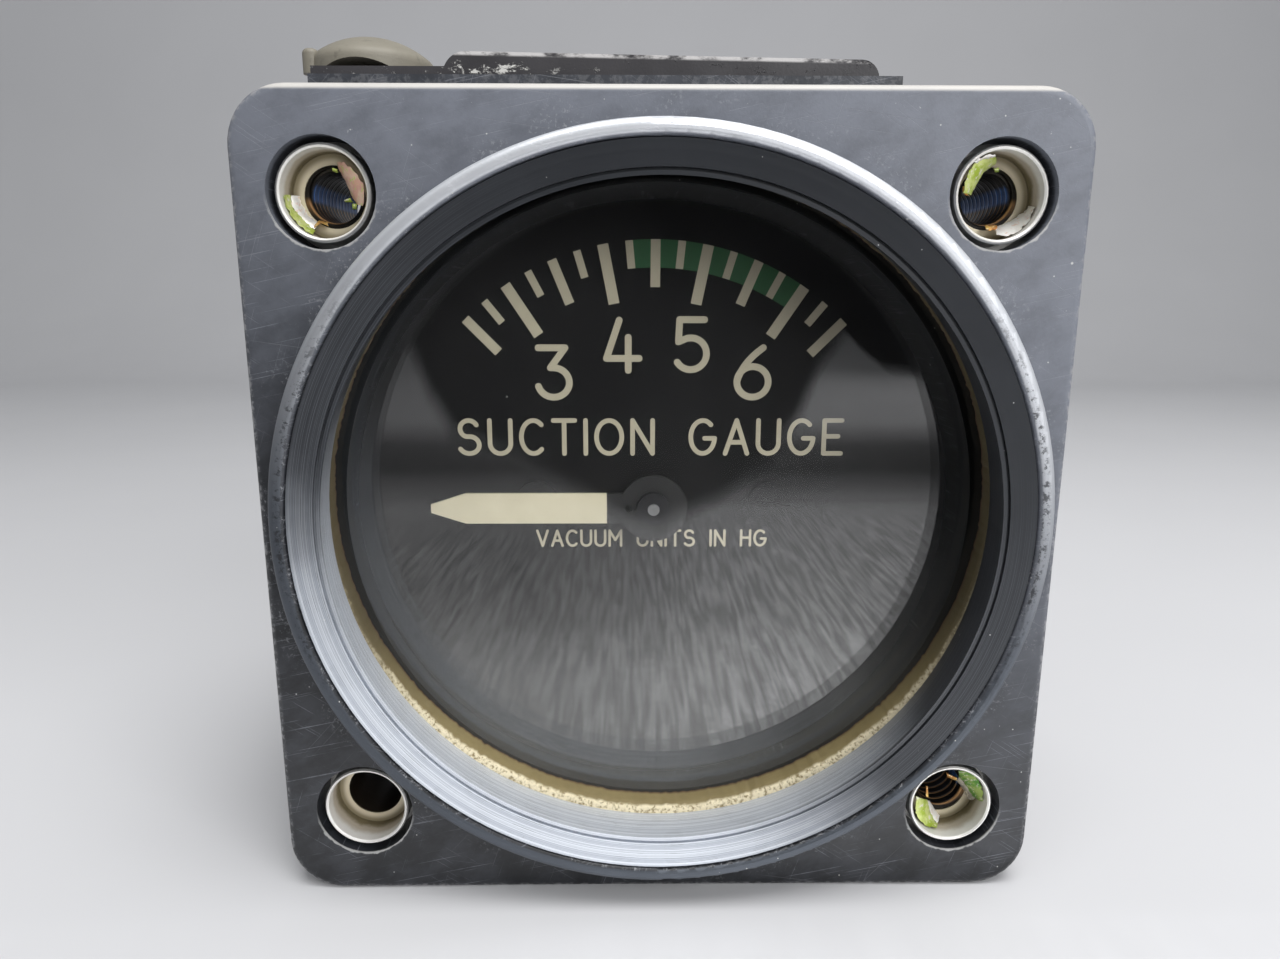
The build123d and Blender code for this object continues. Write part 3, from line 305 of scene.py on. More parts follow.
    # Painted shade in patches on the inner edge of the rim at its left and right sides.
    rim_shade_patches = g.fade(g.noise(g.point(), 0.45, 5.0, 0.75), 0.50, 0.58)
    rim_inner_shade = g.both(g.fade(to_axis, 27.75, 27.35), g.both(g.fade(z, 20.0, 8.0), g.fade(z, -15.0, -7.0)))
    rim_colour = g.mix(g.both(g.both(rim_shade_patches, rim_inner_shade), 0.8), rim_colour, (0.035, 0.036, 0.040))
    bared = g.mix(g.both(rim, g.fade(cloudy, 0.2, 0.6, 0.8, 1.0)), bared, rim_colour)
    bared = g.mix(g.both(hole, 0.8), bared, (0.46, 0.46, 0.45))
    colour = g.mix(g.both(g.either(dust, flakes), 0.8), bared, (0.62, 0.62, 0.60))
    rough = g.level(g.either(rim, painted_sheen), g.level(cloudy, 0.34, 0.46), 0.5)
    relief = g.bump(grain, 0.012, g.bump(g.either(scuffs, long_scratches), -0.006))
    return g.surface(
        Base_Color=colour,
        Metallic=g.both(rim, 0.7),
        Roughness=rough,
        Normal=relief,
        Specular_IOR_Level=0.5,
    )


def ring_material():
    """Turned aluminium, dark above with painted shade and pale blue-grey below and to the left with painted light,
    where its fine turned lines show.
    """
    g = Graph("ring_black")
    x, y, z = g.axes()
    to_axis = g.reach(x, z)
    along = g.calc("SUBTRACT", to_axis, y)
    wander = g.calc("ADD", along, g.calc("MULTIPLY", g.noise(g.point(), 7.0, 2.0), 0.12))
    lines = g.rings(wander, 0.055, 4.0)
    broad = g.rings(along, 0.40, 3.0)
    breaks = g.noise(g.point(), 2.2, 4.0, 0.6)
    cloudy = g.noise(g.point(), 5.0, 3.0)
    seen = g.fade(y, 2.3, 2.1)
    # Painted light and shade: pale blue-grey towards the bottom left where light falls, dark above in shade, with
    # faint lines below the top.
    low = g.calc("ADD", g.calc("MULTIPLY", z, -1.0), g.calc("MULTIPLY", x, -0.55))
    low = g.calc("ADD", low, g.calc("MULTIPLY", cloudy, 6.0))
    wall = g.fade(y, -2.45, -2.0, 0.0, 7.0)
    pale = g.both(g.fade(g.calc("ADD", low, wall), 11.0, 30.0), seen)
    faint_painted_light = g.both(g.fade(low, -22.0, 2.0), seen)
    dust = g.either(g.specks(g.point(), 1.0, 0.06, 0.4), g.specks(g.point(), 2.7, 0.10, 0.3))
    dark = g.mix(cloudy, (0.016, 0.018, 0.022), (0.026, 0.029, 0.035))
    dark = g.mix(g.both(g.both(faint_painted_light, 0.5), g.fade(lines, 0.45, 0.75)), dark, (0.16, 0.17, 0.19))
    painted_light = g.mix(g.fade(lines, 0.36, 0.6), (0.36, 0.39, 0.445), (0.86, 0.90, 0.96))
    painted_light = g.mix(g.fade(broad, 0.40, 0.62, 0.0, 0.55), painted_light, (0.40, 0.435, 0.50))
    painted_light = g.mix(g.both(g.fade(lines, 0.42, 0.34), g.fade(breaks, 0.5, 0.6)), painted_light, (0.10, 0.11, 0.13))
    turned = g.mix(pale, dark, painted_light)
    colour = g.mix(g.both(dust, 0.75), turned, (0.72, 0.72, 0.70))
    rough = g.level(broad, 0.34, 0.46)
    lined = g.both(g.both(lines, seen), g.either(pale, g.both(faint_painted_light, 0.4)))
    normal = g.bump(lined, 0.014, g.bump(g.noise(g.point(), 0.2, 2.0), 0.004))
    return g.surface(Base_Color=colour, Metallic=g.both(pale, 0.35), Roughness=rough, Normal=normal)


def gasket_material():
    """Cork-like gasket: crumbly and tan in front, smooth olive-brown on its inner side, dark at the glass, lighter
    towards the bottom with painted light and darker above with painted shade.
    """
    g = Graph("gasket_tan")
    _, y, z = g.axes()
    crumbs = g.noise(g.point(), 0.30, 5.0, 0.7)
    patches = g.noise(g.point(), 2.4, 4.0, 0.6)
    front = g.fade(g.calc("ADD", y, g.calc("MULTIPLY", patches, 0.5)), 2.62, 2.38)
    # Painted light and shade: the gasket is lighter towards the bottom and darker above.
    low = g.fade(g.calc("ADD", z, g.calc("MULTIPLY", patches, 6.0)), -4.0, -17.0, 0.15, 1.0)
    crumbly = g.mix(g.fade(crumbs, 0.35, 0.53), (0.27, 0.21, 0.105), (0.80, 0.71, 0.50))
    brown = g.mix(g.fade(crumbs, 0.54, 0.66), (0.085, 0.066, 0.030), (0.42, 0.36, 0.20))
    tan = g.mix(low, brown, crumbly)
    olive = g.mix(low, (0.060, 0.046, 0.020), g.mix(patches, (0.14, 0.105, 0.040), (0.27, 0.215, 0.095)))
    colour = g.mix(front, olive, tan)
    colour = g.mix(g.fade(y, 3.6, 3.95, 0.0, 0.8), colour, (0.055, 0.022, 0.010))
    return g.surface(
        Base_Color=colour,
        Roughness=g.level(front, 0.55, 0.9),
        Normal=g.bump(g.both(crumbs, g.level(front, 0.15, 1.0)), 0.14),
    )


def glass_material():
    """Clear glass that lets the lamps reach the dial, with a film of dust and a few specks on it."""
    g = Graph("glass")
    z = g.axes()[2]
    film = g.noise(g.point((1, 1, 0.5)), 6.0, 5.0, 0.6)
    specks = g.either(g.specks(g.point(), 1.9, 0.07, 0.4), g.specks(g.point(), 4.3, 0.12, 0.3))
    g.surface(Base_Color=(1.0, 1.0, 1.0), Roughness=0.0, IOR=1.65, Transmission_Weight=1.0)
    clear = g.node("BsdfTransparent", {"Color": (0.92, 0.93, 0.92)}).outputs[0]
    dust = g.node("BsdfDiffuse", {"Color": (0.42, 0.42, 0.40)}).outputs[0]
    shadow = g.node("LightPath", {}).outputs["Is Shadow Ray"]
    seen = g.node("MixShader", {0: shadow, 1: g.shader.outputs[0], 2: clear}).outputs[0]
    low = g.both(g.fade(z, 6.0, -20.0, 0.12, 1.0), g.fade(film, 0.3, 0.75, 0.05, 0.10))
    amount = g.either(g.both(specks, 0.4), low)
    dusty = g.node("MixShader", {0: amount, 1: seen, 2: dust}).outputs[0]
    g.put(g.output.inputs["Surface"], dusty)
    return g.material


def dial_material():
    """Flat black dial with a little dust."""
    g = Graph("dial_black")
    cloudy = g.noise(g.point(), 8.0, 3.0)
    dust = g.specks(g.point(), 1.6, 0.06, 0.25)
    black = g.mix(cloudy, (0.004, 0.004, 0.005), (0.008, 0.008, 0.009))
    colour = g.mix(g.both(dust, 0.5), black, (0.4, 0.4, 0.38))
    return g.surface(Base_Color=colour, Roughness=g.level(cloudy, 0.58, 0.66), Specular_IOR_Level=0.15)


def print_material(name, low, high):
    """Dial paint, slightly uneven."""
    g = Graph(name)
    patches = g.noise(g.point(), 0.9, 4.0, 0.6)
    grain = g.noise(g.point(), 0.1, 2.0)
    return g.surface(
        Base_Color=g.mix(patches, low, high), Roughness=0.6, Normal=g.bump(grain, 0.004)
    )


def pointer_material():
    """Cream paint on the blade, black on the hub and the neck."""
    g = Graph("pointer_cream")
    x = g.axes()[0]
    wavy = g.noise(g.point(), 0.3, 2.0)
    edge = g.calc("ADD", x, g.calc("MULTIPLY", wavy, 0.12))
    painted = g.fade(edge, MOVEMENT[0] - 3.72, MOVEMENT[0] - 3.76)
    patches = g.noise(g.point(), 1.6, 4.0)
    cream = g.mix(patches, (0.62, 0.56, 0.40), (0.74, 0.68, 0.50))
    colour = g.mix(painted, (0.012, 0.012, 0.013), cream)
    rough = g.level(painted, 0.5, 0.6)
    relief = g.bump(painted, 0.03, g.bump(g.noise(g.point(), 0.15, 3.0), 0.008))
    return g.surface(Base_Color=colour, Roughness=rough, Normal=relief)


def metal_material(name, low, high, rough_low=0.25, rough_high=0.45, line_size=0.12, metallic=1.0):
    """Machined metal with stains and fine lines along its axis."""
    g = Graph(name)
    y = g.axes()[1]
    stains = g.noise(g.point(), 2.5, 5.0, 0.6)
    lines = g.rings(y, line_size, 3.0)
    relief = g.bump(lines, 0.006, g.bump(g.noise(g.point(), 0.2, 3.0), 0.006))
    return g.surface(
        Base_Color=g.mix(g.fade(stains, 0.3, 0.7), low, high),
        Metallic=metallic,
        Roughness=g.level(stains, rough_high, rough_low),
        Normal=relief,
    )


def sleeve_material():
    """Plated sleeve: silver at the front, beige to olive down its wall, pale on the ledge, dark in the rear bore."""
    g = Graph("insert_silver")
    x, y, z = g.axes()
    to_hole = g.reach(g.calc("ABSOLUTE", x), g.calc("ABSOLUTE", z), (MOUNT_REACH, MOUNT_REACH))
    stains = g.noise(g.point(), 1.0, 5.0, 0.65)
    depth = g.calc("ADD", y, g.calc("MULTIPLY", stains, 0.9))
    inner = g.fade(to_hole, 3.2, 3.1)
    ledge = g.both(g.both(g.fade(y, 2.85, 2.95), g.fade(to_hole, 3.0, 2.9)), g.fade(y, 3.1, 3.02))
    bore = g.both(g.fade(y, 3.02, 3.25), g.fade(to_hole, 2.35, 2.25))
    silver = g.mix(stains, (0.78, 0.76, 0.72), (0.93, 0.92, 0.89))
    beige = g.mix(stains, (0.42, 0.37, 0.30), (0.62, 0.56, 0.48))
    olive = g.mix(stains, (0.12, 0.10, 0.055), (0.24, 0.20, 0.12))
    pale = g.mix(g.fade(to_hole, 2.85, 2.35), (0.34, 0.29, 0.19), (0.74, 0.66, 0.50))
    wall = g.mix(g.fade(depth, 1.5, 2.3), silver, beige)
    wall = g.mix(g.fade(depth, 2.4, 3.1), wall, olive)
    colour = g.mix(inner, silver, wall)
    colour = g.mix(ledge, colour, pale)
    colour = g.mix(bore, colour, (0.020, 0.014, 0.009))
    relief = g.bump(stains, 0.02, g.bump(g.rings(y, 0.1, 2.0), 0.004))
    return g.surface(
        Base_Color=colour,
        Metallic=g.level(g.either(inner, bore), 0.85, 0.25),
        Roughness=g.level(stains, 0.45, 0.28),
        Normal=relief,
    )


def nut_material():
    """Blackened thread, with brown light on its turns below and a blue sheen across its middle."""
    g = Graph("nut_thread")
    x, y, z = g.axes()
    across = g.calc("SUBTRACT", g.calc("ABSOLUTE", x), MOUNT_REACH)
    up = g.calc("SUBTRACT", z, g.calc("MULTIPLY", g.calc("SIGN", z), MOUNT_REACH))
    around = g.calc("DIVIDE", g.calc("ARCTAN2", up, across), 2 * math.pi)
    turns = g.calc("FRACT", g.calc("ADD", g.calc("DIVIDE", y, THREAD_PITCH), around))
    ridge = g.calc("ABSOLUTE", g.calc("SUBTRACT", turns, 0.5))
    crest = g.fade(ridge, 0.30, 0.46)
    cloudy = g.noise(g.point(), 0.8, 3.0)
    low = g.fade(up, 0.1, -0.5)
    sheen = g.both(g.fade(g.calc("ABSOLUTE", g.calc("SUBTRACT", up, 0.35)), 0.75, 0.35), g.fade(y, 3.3, 3.9))
    dark = g.mix(cloudy, (0.010, 0.009, 0.008), (0.026, 0.022, 0.018))
    colour = g.mix(g.both(g.both(crest, low), 0.9), dark, (0.42, 0.23, 0.10))
    colour = g.mix(g.both(sheen, g.level(crest, 0.6, 1.0)), colour, (0.07, 0.20, 0.55))
    return g.surface(
        Base_Color=colour, Metallic=0.5, Roughness=g.level(cloudy, 0.45, 0.3), Normal=g.bump(crest, 0.12)
    )


def plated_material(name, low, high, edge):
    """Thin chromate plating that drifts between two tints, with some of a third."""
    g = Graph(name)
    drift = g.noise(g.point(), 0.9, 3.0, 0.6)
    fine = g.noise(g.point(), 0.35, 4.0, 0.6)
    colour = g.mix(g.fade(drift, 0.38, 0.62), low, high)
    colour = g.mix(g.fade(fine, 0.56, 0.66), colour, edge)
    return g.surface(
        Base_Color=colour, Metallic=0.3, Roughness=g.level(fine, 0.42, 0.26), Normal=g.bump(fine, 0.02)
    )


def rubber_material(name, low, high, rough=0.7):
    """Rubber with a fine grain, drifting between two shades, with dirt in patches."""
    g = Graph(name)
    patches = g.noise(g.point(), 3.0, 4.0)
    grain = g.noise(g.point(), 0.18, 3.0, 0.6)
    dirt = g.fade(g.noise(g.point(), 1.1, 5.0, 0.7), 0.55, 0.75)
    colour = g.mix(g.both(dirt, 0.5), g.mix(patches, low, high), [c * 0.5 for c in low])
    return g.surface(Base_Color=colour, Roughness=rough, Normal=g.bump(grain, 0.015))


def plate_material():
    """Black finish on the light fittings, chipped to bare white metal along the front, with a painted highlight along
    the top edge of the block.
    """
    g = Graph("plate_black")
    x, y, z = g.axes()
    cloudy = g.noise(g.point(), 4.0, 4.0)
    rough = g.noise(g.point((0.6, 1, 1)), 0.8, 6.0, 0.75)
    to_debris = g.calc("ABSOLUTE", g.calc("SUBTRACT", x, DEBRIS_PLACE))
    heap = g.both(g.fade(to_debris, 3.6, 1.6), g.fade(z, PAD_TOP + 1.7, PAD_TOP + 0.9))
    chips = g.fade(g.calc("ADD", rough, g.both(heap, 0.12)), 0.60, 0.66)
    low = g.fade(z, PAD_TOP + 1.1, PAD_TOP + 0.3)
    left = g.fade(g.calc("ABSOLUTE", g.calc("ADD", x, 12.5)), 4.0, 2.0)
    front = g.both(g.fade(y, 6.5, 5.0), g.either(left, g.both(low, g.fade(x, 8.0, -2.0))))
    black = g.mix(cloudy, (0.035, 0.033, 0.036), (0.075, 0.072, 0.078))
    # Painted highlight along the top edge of the block, broken up in patches.
    top = g.calc("SUBTRACT", BLOCK_TOP, g.calc("MULTIPLY", g.calc("SUBTRACT", x, BLOCK_LEFT), BLOCK_SLOPE))
    block_top_highlight = g.both(g.fade(g.calc("SUBTRACT", z, top), -0.34, -0.16), g.fade(y, 5.8, 5.3))
    block_top_highlight = g.both(block_top_highlight, g.fade(g.noise(g.point((0.4, 1, 1)), 1.2, 5.0, 0.7), 0.38, 0.56))
    colour = g.mix(g.both(chips, front), black, (0.68, 0.67, 0.64))
    colour = g.mix(g.both(block_top_highlight, 0.85), colour, (0.72, 0.70, 0.69))
    return g.surface(
        Base_Color=colour,
        Roughness=g.level(cloudy, 0.32, 0.48),
        Normal=g.bump(g.noise(g.point(), 0.2, 3.0), 0.012, g.bump(chips, 0.05)),
    )


MATERIALS = {
    "case_black": case_material(),
    "ring_black": ring_material(),
    "gasket_tan": gasket_material(),
    "glass": glass_material(),
    "dial_black": dial_material(),
    "pointer_cream": pointer_material(),
    "blued_black": metal_material("blued_black", (0.012, 0.012, 0.014), (0.03, 0.03, 0.034), 0.35, 0.5, metallic=0.3),
    "brass": metal_material("brass", (0.50, 0.33, 0.12), (0.66, 0.47, 0.20)),
    "steel": metal_material("steel", (0.42, 0.42, 0.42), (0.60, 0.60, 0.60)),
    "bronze": metal_material("bronze", (0.36, 0.22, 0.11), (0.52, 0.33, 0.17)),
    "insert_silver": sleeve_material(),
    "chromate": plated_material("chromate", (0.50, 0.58, 0.12), (0.78, 0.80, 0.46), (0.90, 0.88, 0.80)),
    "rubber_grey": rubber_material("rubber_grey", (0.17, 0.155, 0.122), (0.27, 0.25, 0.20), 0.55),
    "rubber_black": rubber_material("rubber_black", (0.015, 0.015, 0.016), (0.035, 0.035, 0.036)),
    "plate_black": plate_material(),
}
CLIP_FINISHES = {
    "green": plated_material("clip_green", (0.46, 0.60, 0.07), (0.74, 0.82, 0.30), (0.90, 0.90, 0.72)),
    "deepgreen": plated_material("clip_deepgreen", (0.12, 0.34, 0.05), (0.42, 0.56, 0.16), (0.80, 0.80, 0.66)),
    "pink": plated_material("clip_pink", (0.80, 0.46, 0.38), (0.88, 0.64, 0.52), (0.62, 0.74, 0.22)),
    "white": plated_material("clip_white", (0.92, 0.88, 0.84), (0.94, 0.93, 0.90), (0.86, 0.66, 0.56)),
    "grey": plated_material("clip_grey", (0.36, 0.32, 0.28), (0.56, 0.52, 0.46), (0.74, 0.70, 0.62)),
    "tab": plated_material("clip_tab", (0.48, 0.20, 0.05), (0.80, 0.52, 0.16), (0.88, 0.78, 0.50)),
    "tabgreen": plated_material("clip_tabgreen", (0.34, 0.52, 0.06), (0.66, 0.78, 0.20), (0.86, 0.84, 0.60)),
}

CREAM_PRINT = print_material("print_cream", (0.50, 0.45, 0.33), (0.60, 0.55, 0.41))
GREEN_PRINT = print_material("print_green", (0.010, 0.085, 0.026), (0.016, 0.12, 0.036))

for node in nodes.values():
    for place in node.material_slots:
        place.material = MATERIALS[place.material.name.split(".")[0]]
nodes["insert_nuts"].material_slots[0].material = nut_material()
nodes["dial_screws"].material_slots[0].material = MATERIALS["dial_black"]


def add_piece(name, points, faces, material, body="housing", smooth_angle=30):
    """A mesh piece from points in millimetres, riding on a body."""
    mesh = bpy.data.meshes.new(name)
    mesh.from_pydata([vector_mm(p) for p in points], [], faces)
    mesh.validate()
    mesh.materials.append(material)
    mesh.polygons.foreach_set("use_smooth", [True] * len(mesh.polygons))
    mesh.set_sharp_from_angle(angle=math.radians(smooth_angle))
    piece = bpy.data.objects.new(name, mesh)
    bpy.context.scene.collection.objects.link(piece)
    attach(piece, body)
    return piece


def flat_piece(name, outlines, y_front, y_back, material, body="housing"):
    """A thin flat piece seen from the front: the union of outlines of (x, z) points, with side walls."""
    coords = []
    rings = []
    for outline in outlines:
        start = len(coords)
        area = sum(a[0] * b[1] - b[0] * a[1] for a, b in zip(outline, [*outline[1:], outline[0]]))
        coords += [Vector(p) for p in (outline if area > 0 else outline[::-1])]
        rings.append(list(range(start, len(coords))))
    cut = geometry.delaunay_2d_cdt(coords, [], rings, 0, 1e-5)
    corners, triangles, owners = cut[0], cut[2], cut[5]
    kept = [list(t) for t, owner in zip(triangles, owners) if owner]
    turned = []
    for a, b, c in kept:
        area = (corners[b] - corners[a]).cross(corners[c] - corners[a])
        turned.append((a, b, c) if area > 0 else (a, c, b))
    border = {}
    for triangle in turned:
        for i in range(3):
            border[(triangle[i], triangle[(i + 1) % 3])] = True
    open_edges = [(a, b) for a, b in border if (b, a) not in border]
    used = sorted({i for t in turned for i in t})
    index = {old: new for new, old in enumerate(used)}
    count = len(used)
    points = [(corners[i][0], y_front, corners[i][1]) for i in used]
    points += [(corners[i][0], y_back, corners[i][1]) for i in used]
    faces = [tuple(index[i] for i in t) for t in turned]
    faces += [tuple(index[i] + count for i in reversed(t)) for t in turned]
    faces += [(index[b], index[a], index[a] + count, index[b] + count) for a, b in open_edges]
    return add_piece(name, points, faces, material, body)


def arc(cx, cy, rx, ry, start, end, steps=18):
    """Points on an ellipse from one angle to another, in degrees."""
    angles = [math.radians(start + (end - start) * i / steps) for i in range(steps + 1)]
    return [(cx + rx * math.cos(a), cy + ry * math.sin(a)) for a in angles]


def bend(start, control, end, steps=14):
    """Points on a curve that leaves start towards control and comes to end from it."""
    points = []
    for i in range(steps + 1):
        t = i / steps
        weights = ((1 - t) ** 2, 2 * t * (1 - t), t * t)
        points.append(tuple(sum(w * p[k] for w, p in zip(weights, (start, control, end))) for k in (0, 1)))
    return points


# Pen strokes of each letter in a box one unit high, with the letter's width
GLYPHS = {
    "3": (0.68, [[(0.06, 1.0), (0.60, 1.0)], [(0.60, 1.0), (0.30, 0.60)],
                 [(0.30, 0.60), *arc(0.36, 0.30, 0.32, 0.30, 92, -165)]]),
    "4": (0.66, [[(0.26, 1.0), (0.0, 0.24)], [(0.0, 0.24), (0.66, 0.24)], [(0.44, 0.66), (0.44, 0.0)]]),
    "5": (0.60, [[(0.04, 1.0), (0.54, 1.0)], [(0.04, 1.0), (0.02, 0.56)],
                 [(0.02, 0.56), *arc(0.27, 0.32, 0.32, 0.32, 118, -148)]]),
    "6": (0.64, [[*bend((0.52, 1.0), (0.10, 0.70), (0.0, 0.31))], arc(0.32, 0.31, 0.32, 0.31, 0, 180),
                 arc(0.32, 0.31, 0.32, 0.31, 180, 360)]),
    "A": (0.66, [[(0.0, 0.0), (0.33, 1.0)], [(0.33, 1.0), (0.66, 0.0)], [(0.11, 0.34), (0.55, 0.34)]]),
    "C": (0.64, [arc(0.36, 0.5, 0.36, 0.5, 48, 312, 28)]),
    "E": (0.52, [[(0.0, 0.0), (0.0, 1.0)], [(0.0, 1.0), (0.52, 1.0)], [(0.0, 0.52), (0.42, 0.52)],
                 [(0.0, 0.0), (0.52, 0.0)]]),
    "G": (0.72, [[*arc(0.36, 0.5, 0.36, 0.5, 48, 360, 30), (0.72, 0.46)], [(0.72, 0.46), (0.42, 0.46)]]),
    "H": (0.58, [[(0.0, 0.0), (0.0, 1.0)], [(0.58, 0.0), (0.58, 1.0)], [(0.0, 0.52), (0.58, 0.52)]]),
    "I": (0.0, [[(0.0, 0.0), (0.0, 1.0)]]),
    "M": (0.74, [[(0.0, 0.0), (0.0, 1.0)], [(0.0, 1.0), (0.37, 0.38)], [(0.37, 0.38), (0.74, 1.0)],
                 [(0.74, 1.0), (0.74, 0.0)]]),
    "N": (0.60, [[(0.0, 0.0), (0.0, 1.0)], [(0.0, 1.0), (0.60, 0.0)], [(0.60, 0.0), (0.60, 1.0)]]),
    "O": (0.76, [arc(0.38, 0.5, 0.38, 0.5, 0, 180, 20), arc(0.38, 0.5, 0.38, 0.5, 180, 360, 20)]),
    "S": (0.60, [[*arc(0.30, 0.75, 0.26, 0.25, 28, 250), *arc(0.30, 0.26, 0.30, 0.26, 78, -152)]]),
    "T": (0.64, [[(0.0, 1.0), (0.64, 1.0)], [(0.32, 1.0), (0.32, 0.0)]]),
    "U": (0.62, [[(0.0, 1.0), *arc(0.31, 0.31, 0.31, 0.31, 180, 360), (0.62, 1.0)]]),
    "V": (0.66, [[(0.0, 1.0), (0.33, 0.0)], [(0.33, 0.0), (0.66, 1.0)]]),
    " ": (0.50, []),
}


def stroke_outline(line, pen):
    """The outline of a line drawn with a round pen, as one closed ring of points."""
    half = pen / 2
    points = [Vector(p) for p in line]
    normals = []
    for i, point in enumerate(points):
        before = (point - points[i - 1]).normalized() if i else None
        after = (points[i + 1] - point).normalized() if i + 1 < len(points) else None
        along = (before or after) + (after or before)
        along.normalize()
        normals.append(Vector((-along.y, along.x)))
    left = [p + n * half for p, n in zip(points, normals)]
    right = [p - n * half for p, n in zip(points, normals)]

    def cap(centre, normal):
        """Half a circle from the left side round the end to the right side."""
        start = math.atan2(normal.y, normal.x)
        angles = [start - math.pi * k / 8 for k in range(1, 8)]
        return [centre + half * Vector((math.cos(a), math.sin(a))) for a in angles]

    return left + cap(points[-1], normals[-1]) + right[::-1] + cap(points[0], -normals[0])


def lettering(text, centre_x, centre_z, height, pen, width=None, gap=0.3):
    """Outlines of a word in the dial's plain round-ended lettering, centred on a place."""
    tall = height - pen
    gaps = len(text) - 1
    plain = sum(GLYPHS[letter][0] for letter in text) * tall
    space = gap * tall if width is None else (width - pen - plain) / gaps
    total = plain + gaps * space
    left = centre_x - total / 2
    outlines = []
    for letter in text:
        wide, strokes = GLYPHS[letter]
        for stroke in strokes:
            line = [(left + px * tall, centre_z + (pz - 0.5) * tall) for px, pz in stroke]
            outlines.append(stroke_outline(line, pen))
        left += wide * tall + space
    return outlines


def scale_angle(value):
    """The direction of a reading on the dial, in radians clockwise from straight up."""
    return math.radians(MIDDLE_ANGLE + DEGREES_PER_UNIT * (value - SCALE_MIDDLE))


def on_dial(reach, angle, across=0.0):
    """A point on the dial at a reach along a direction, and a distance across it."""
    return (
        MOVEMENT[0] + reach * math.sin(angle) + across * math.cos(angle),
        MOVEMENT[1] + reach * math.cos(angle) - across * math.sin(angle),
    )


def dial_print():
    """The marks, green range, numbers and words on the dial."""
    ticks = []
    steps = round((SCALE_TO - SCALE_FROM) * 4)
    for step in range(steps + 1):
        value = SCALE_FROM + step / 4
        kind = "major" if value == int(value) else "medium" if value * 2 == int(value * 2) else "small"
        inner, wide = TICKS[kind]
        angle = scale_angle(value)
        half = wide / 2
        ticks.append([
            on_dial(inner, angle, -half),
            on_dial(inner, angle, half),
            on_dial(TICK_OUTER, angle, half),
            on_dial(TICK_OUTER, angle, -half),
        ])
    front = DIAL_FRONT - PRINT_THICKNESS
    flat_piece("dial_ticks", ticks, front, DIAL_FRONT, CREAM_PRINT)
    small = TICKS["small"][0]
    low, high = scale_angle(GREEN_FROM), scale_angle(GREEN_TO)
    spread = [low + (high - low) * i / 40 for i in range(41)]
    green = [on_dial(TICK_OUTER, a) for a in spread] + [on_dial(small, a) for a in reversed(spread)]
    flat_piece("dial_green_arc", [green], DIAL_FRONT - PRINT_THICKNESS / 2, DIAL_FRONT, GREEN_PRINT)
    numbers = []
    for text, x, z in NUMERALS:
        numbers += lettering(text, x, z, NUMERAL_HEIGHT, NUMERAL_PEN)
    flat_piece("dial_numbers", numbers, front, DIAL_FRONT, CREAM_PRINT)
    words = []
    for text, x, z, wide, tall, pen in LEGENDS:
        words += lettering(text, x, z, tall, pen, wide)
    flat_piece("dial_words", words, front, DIAL_FRONT, CREAM_PRINT)


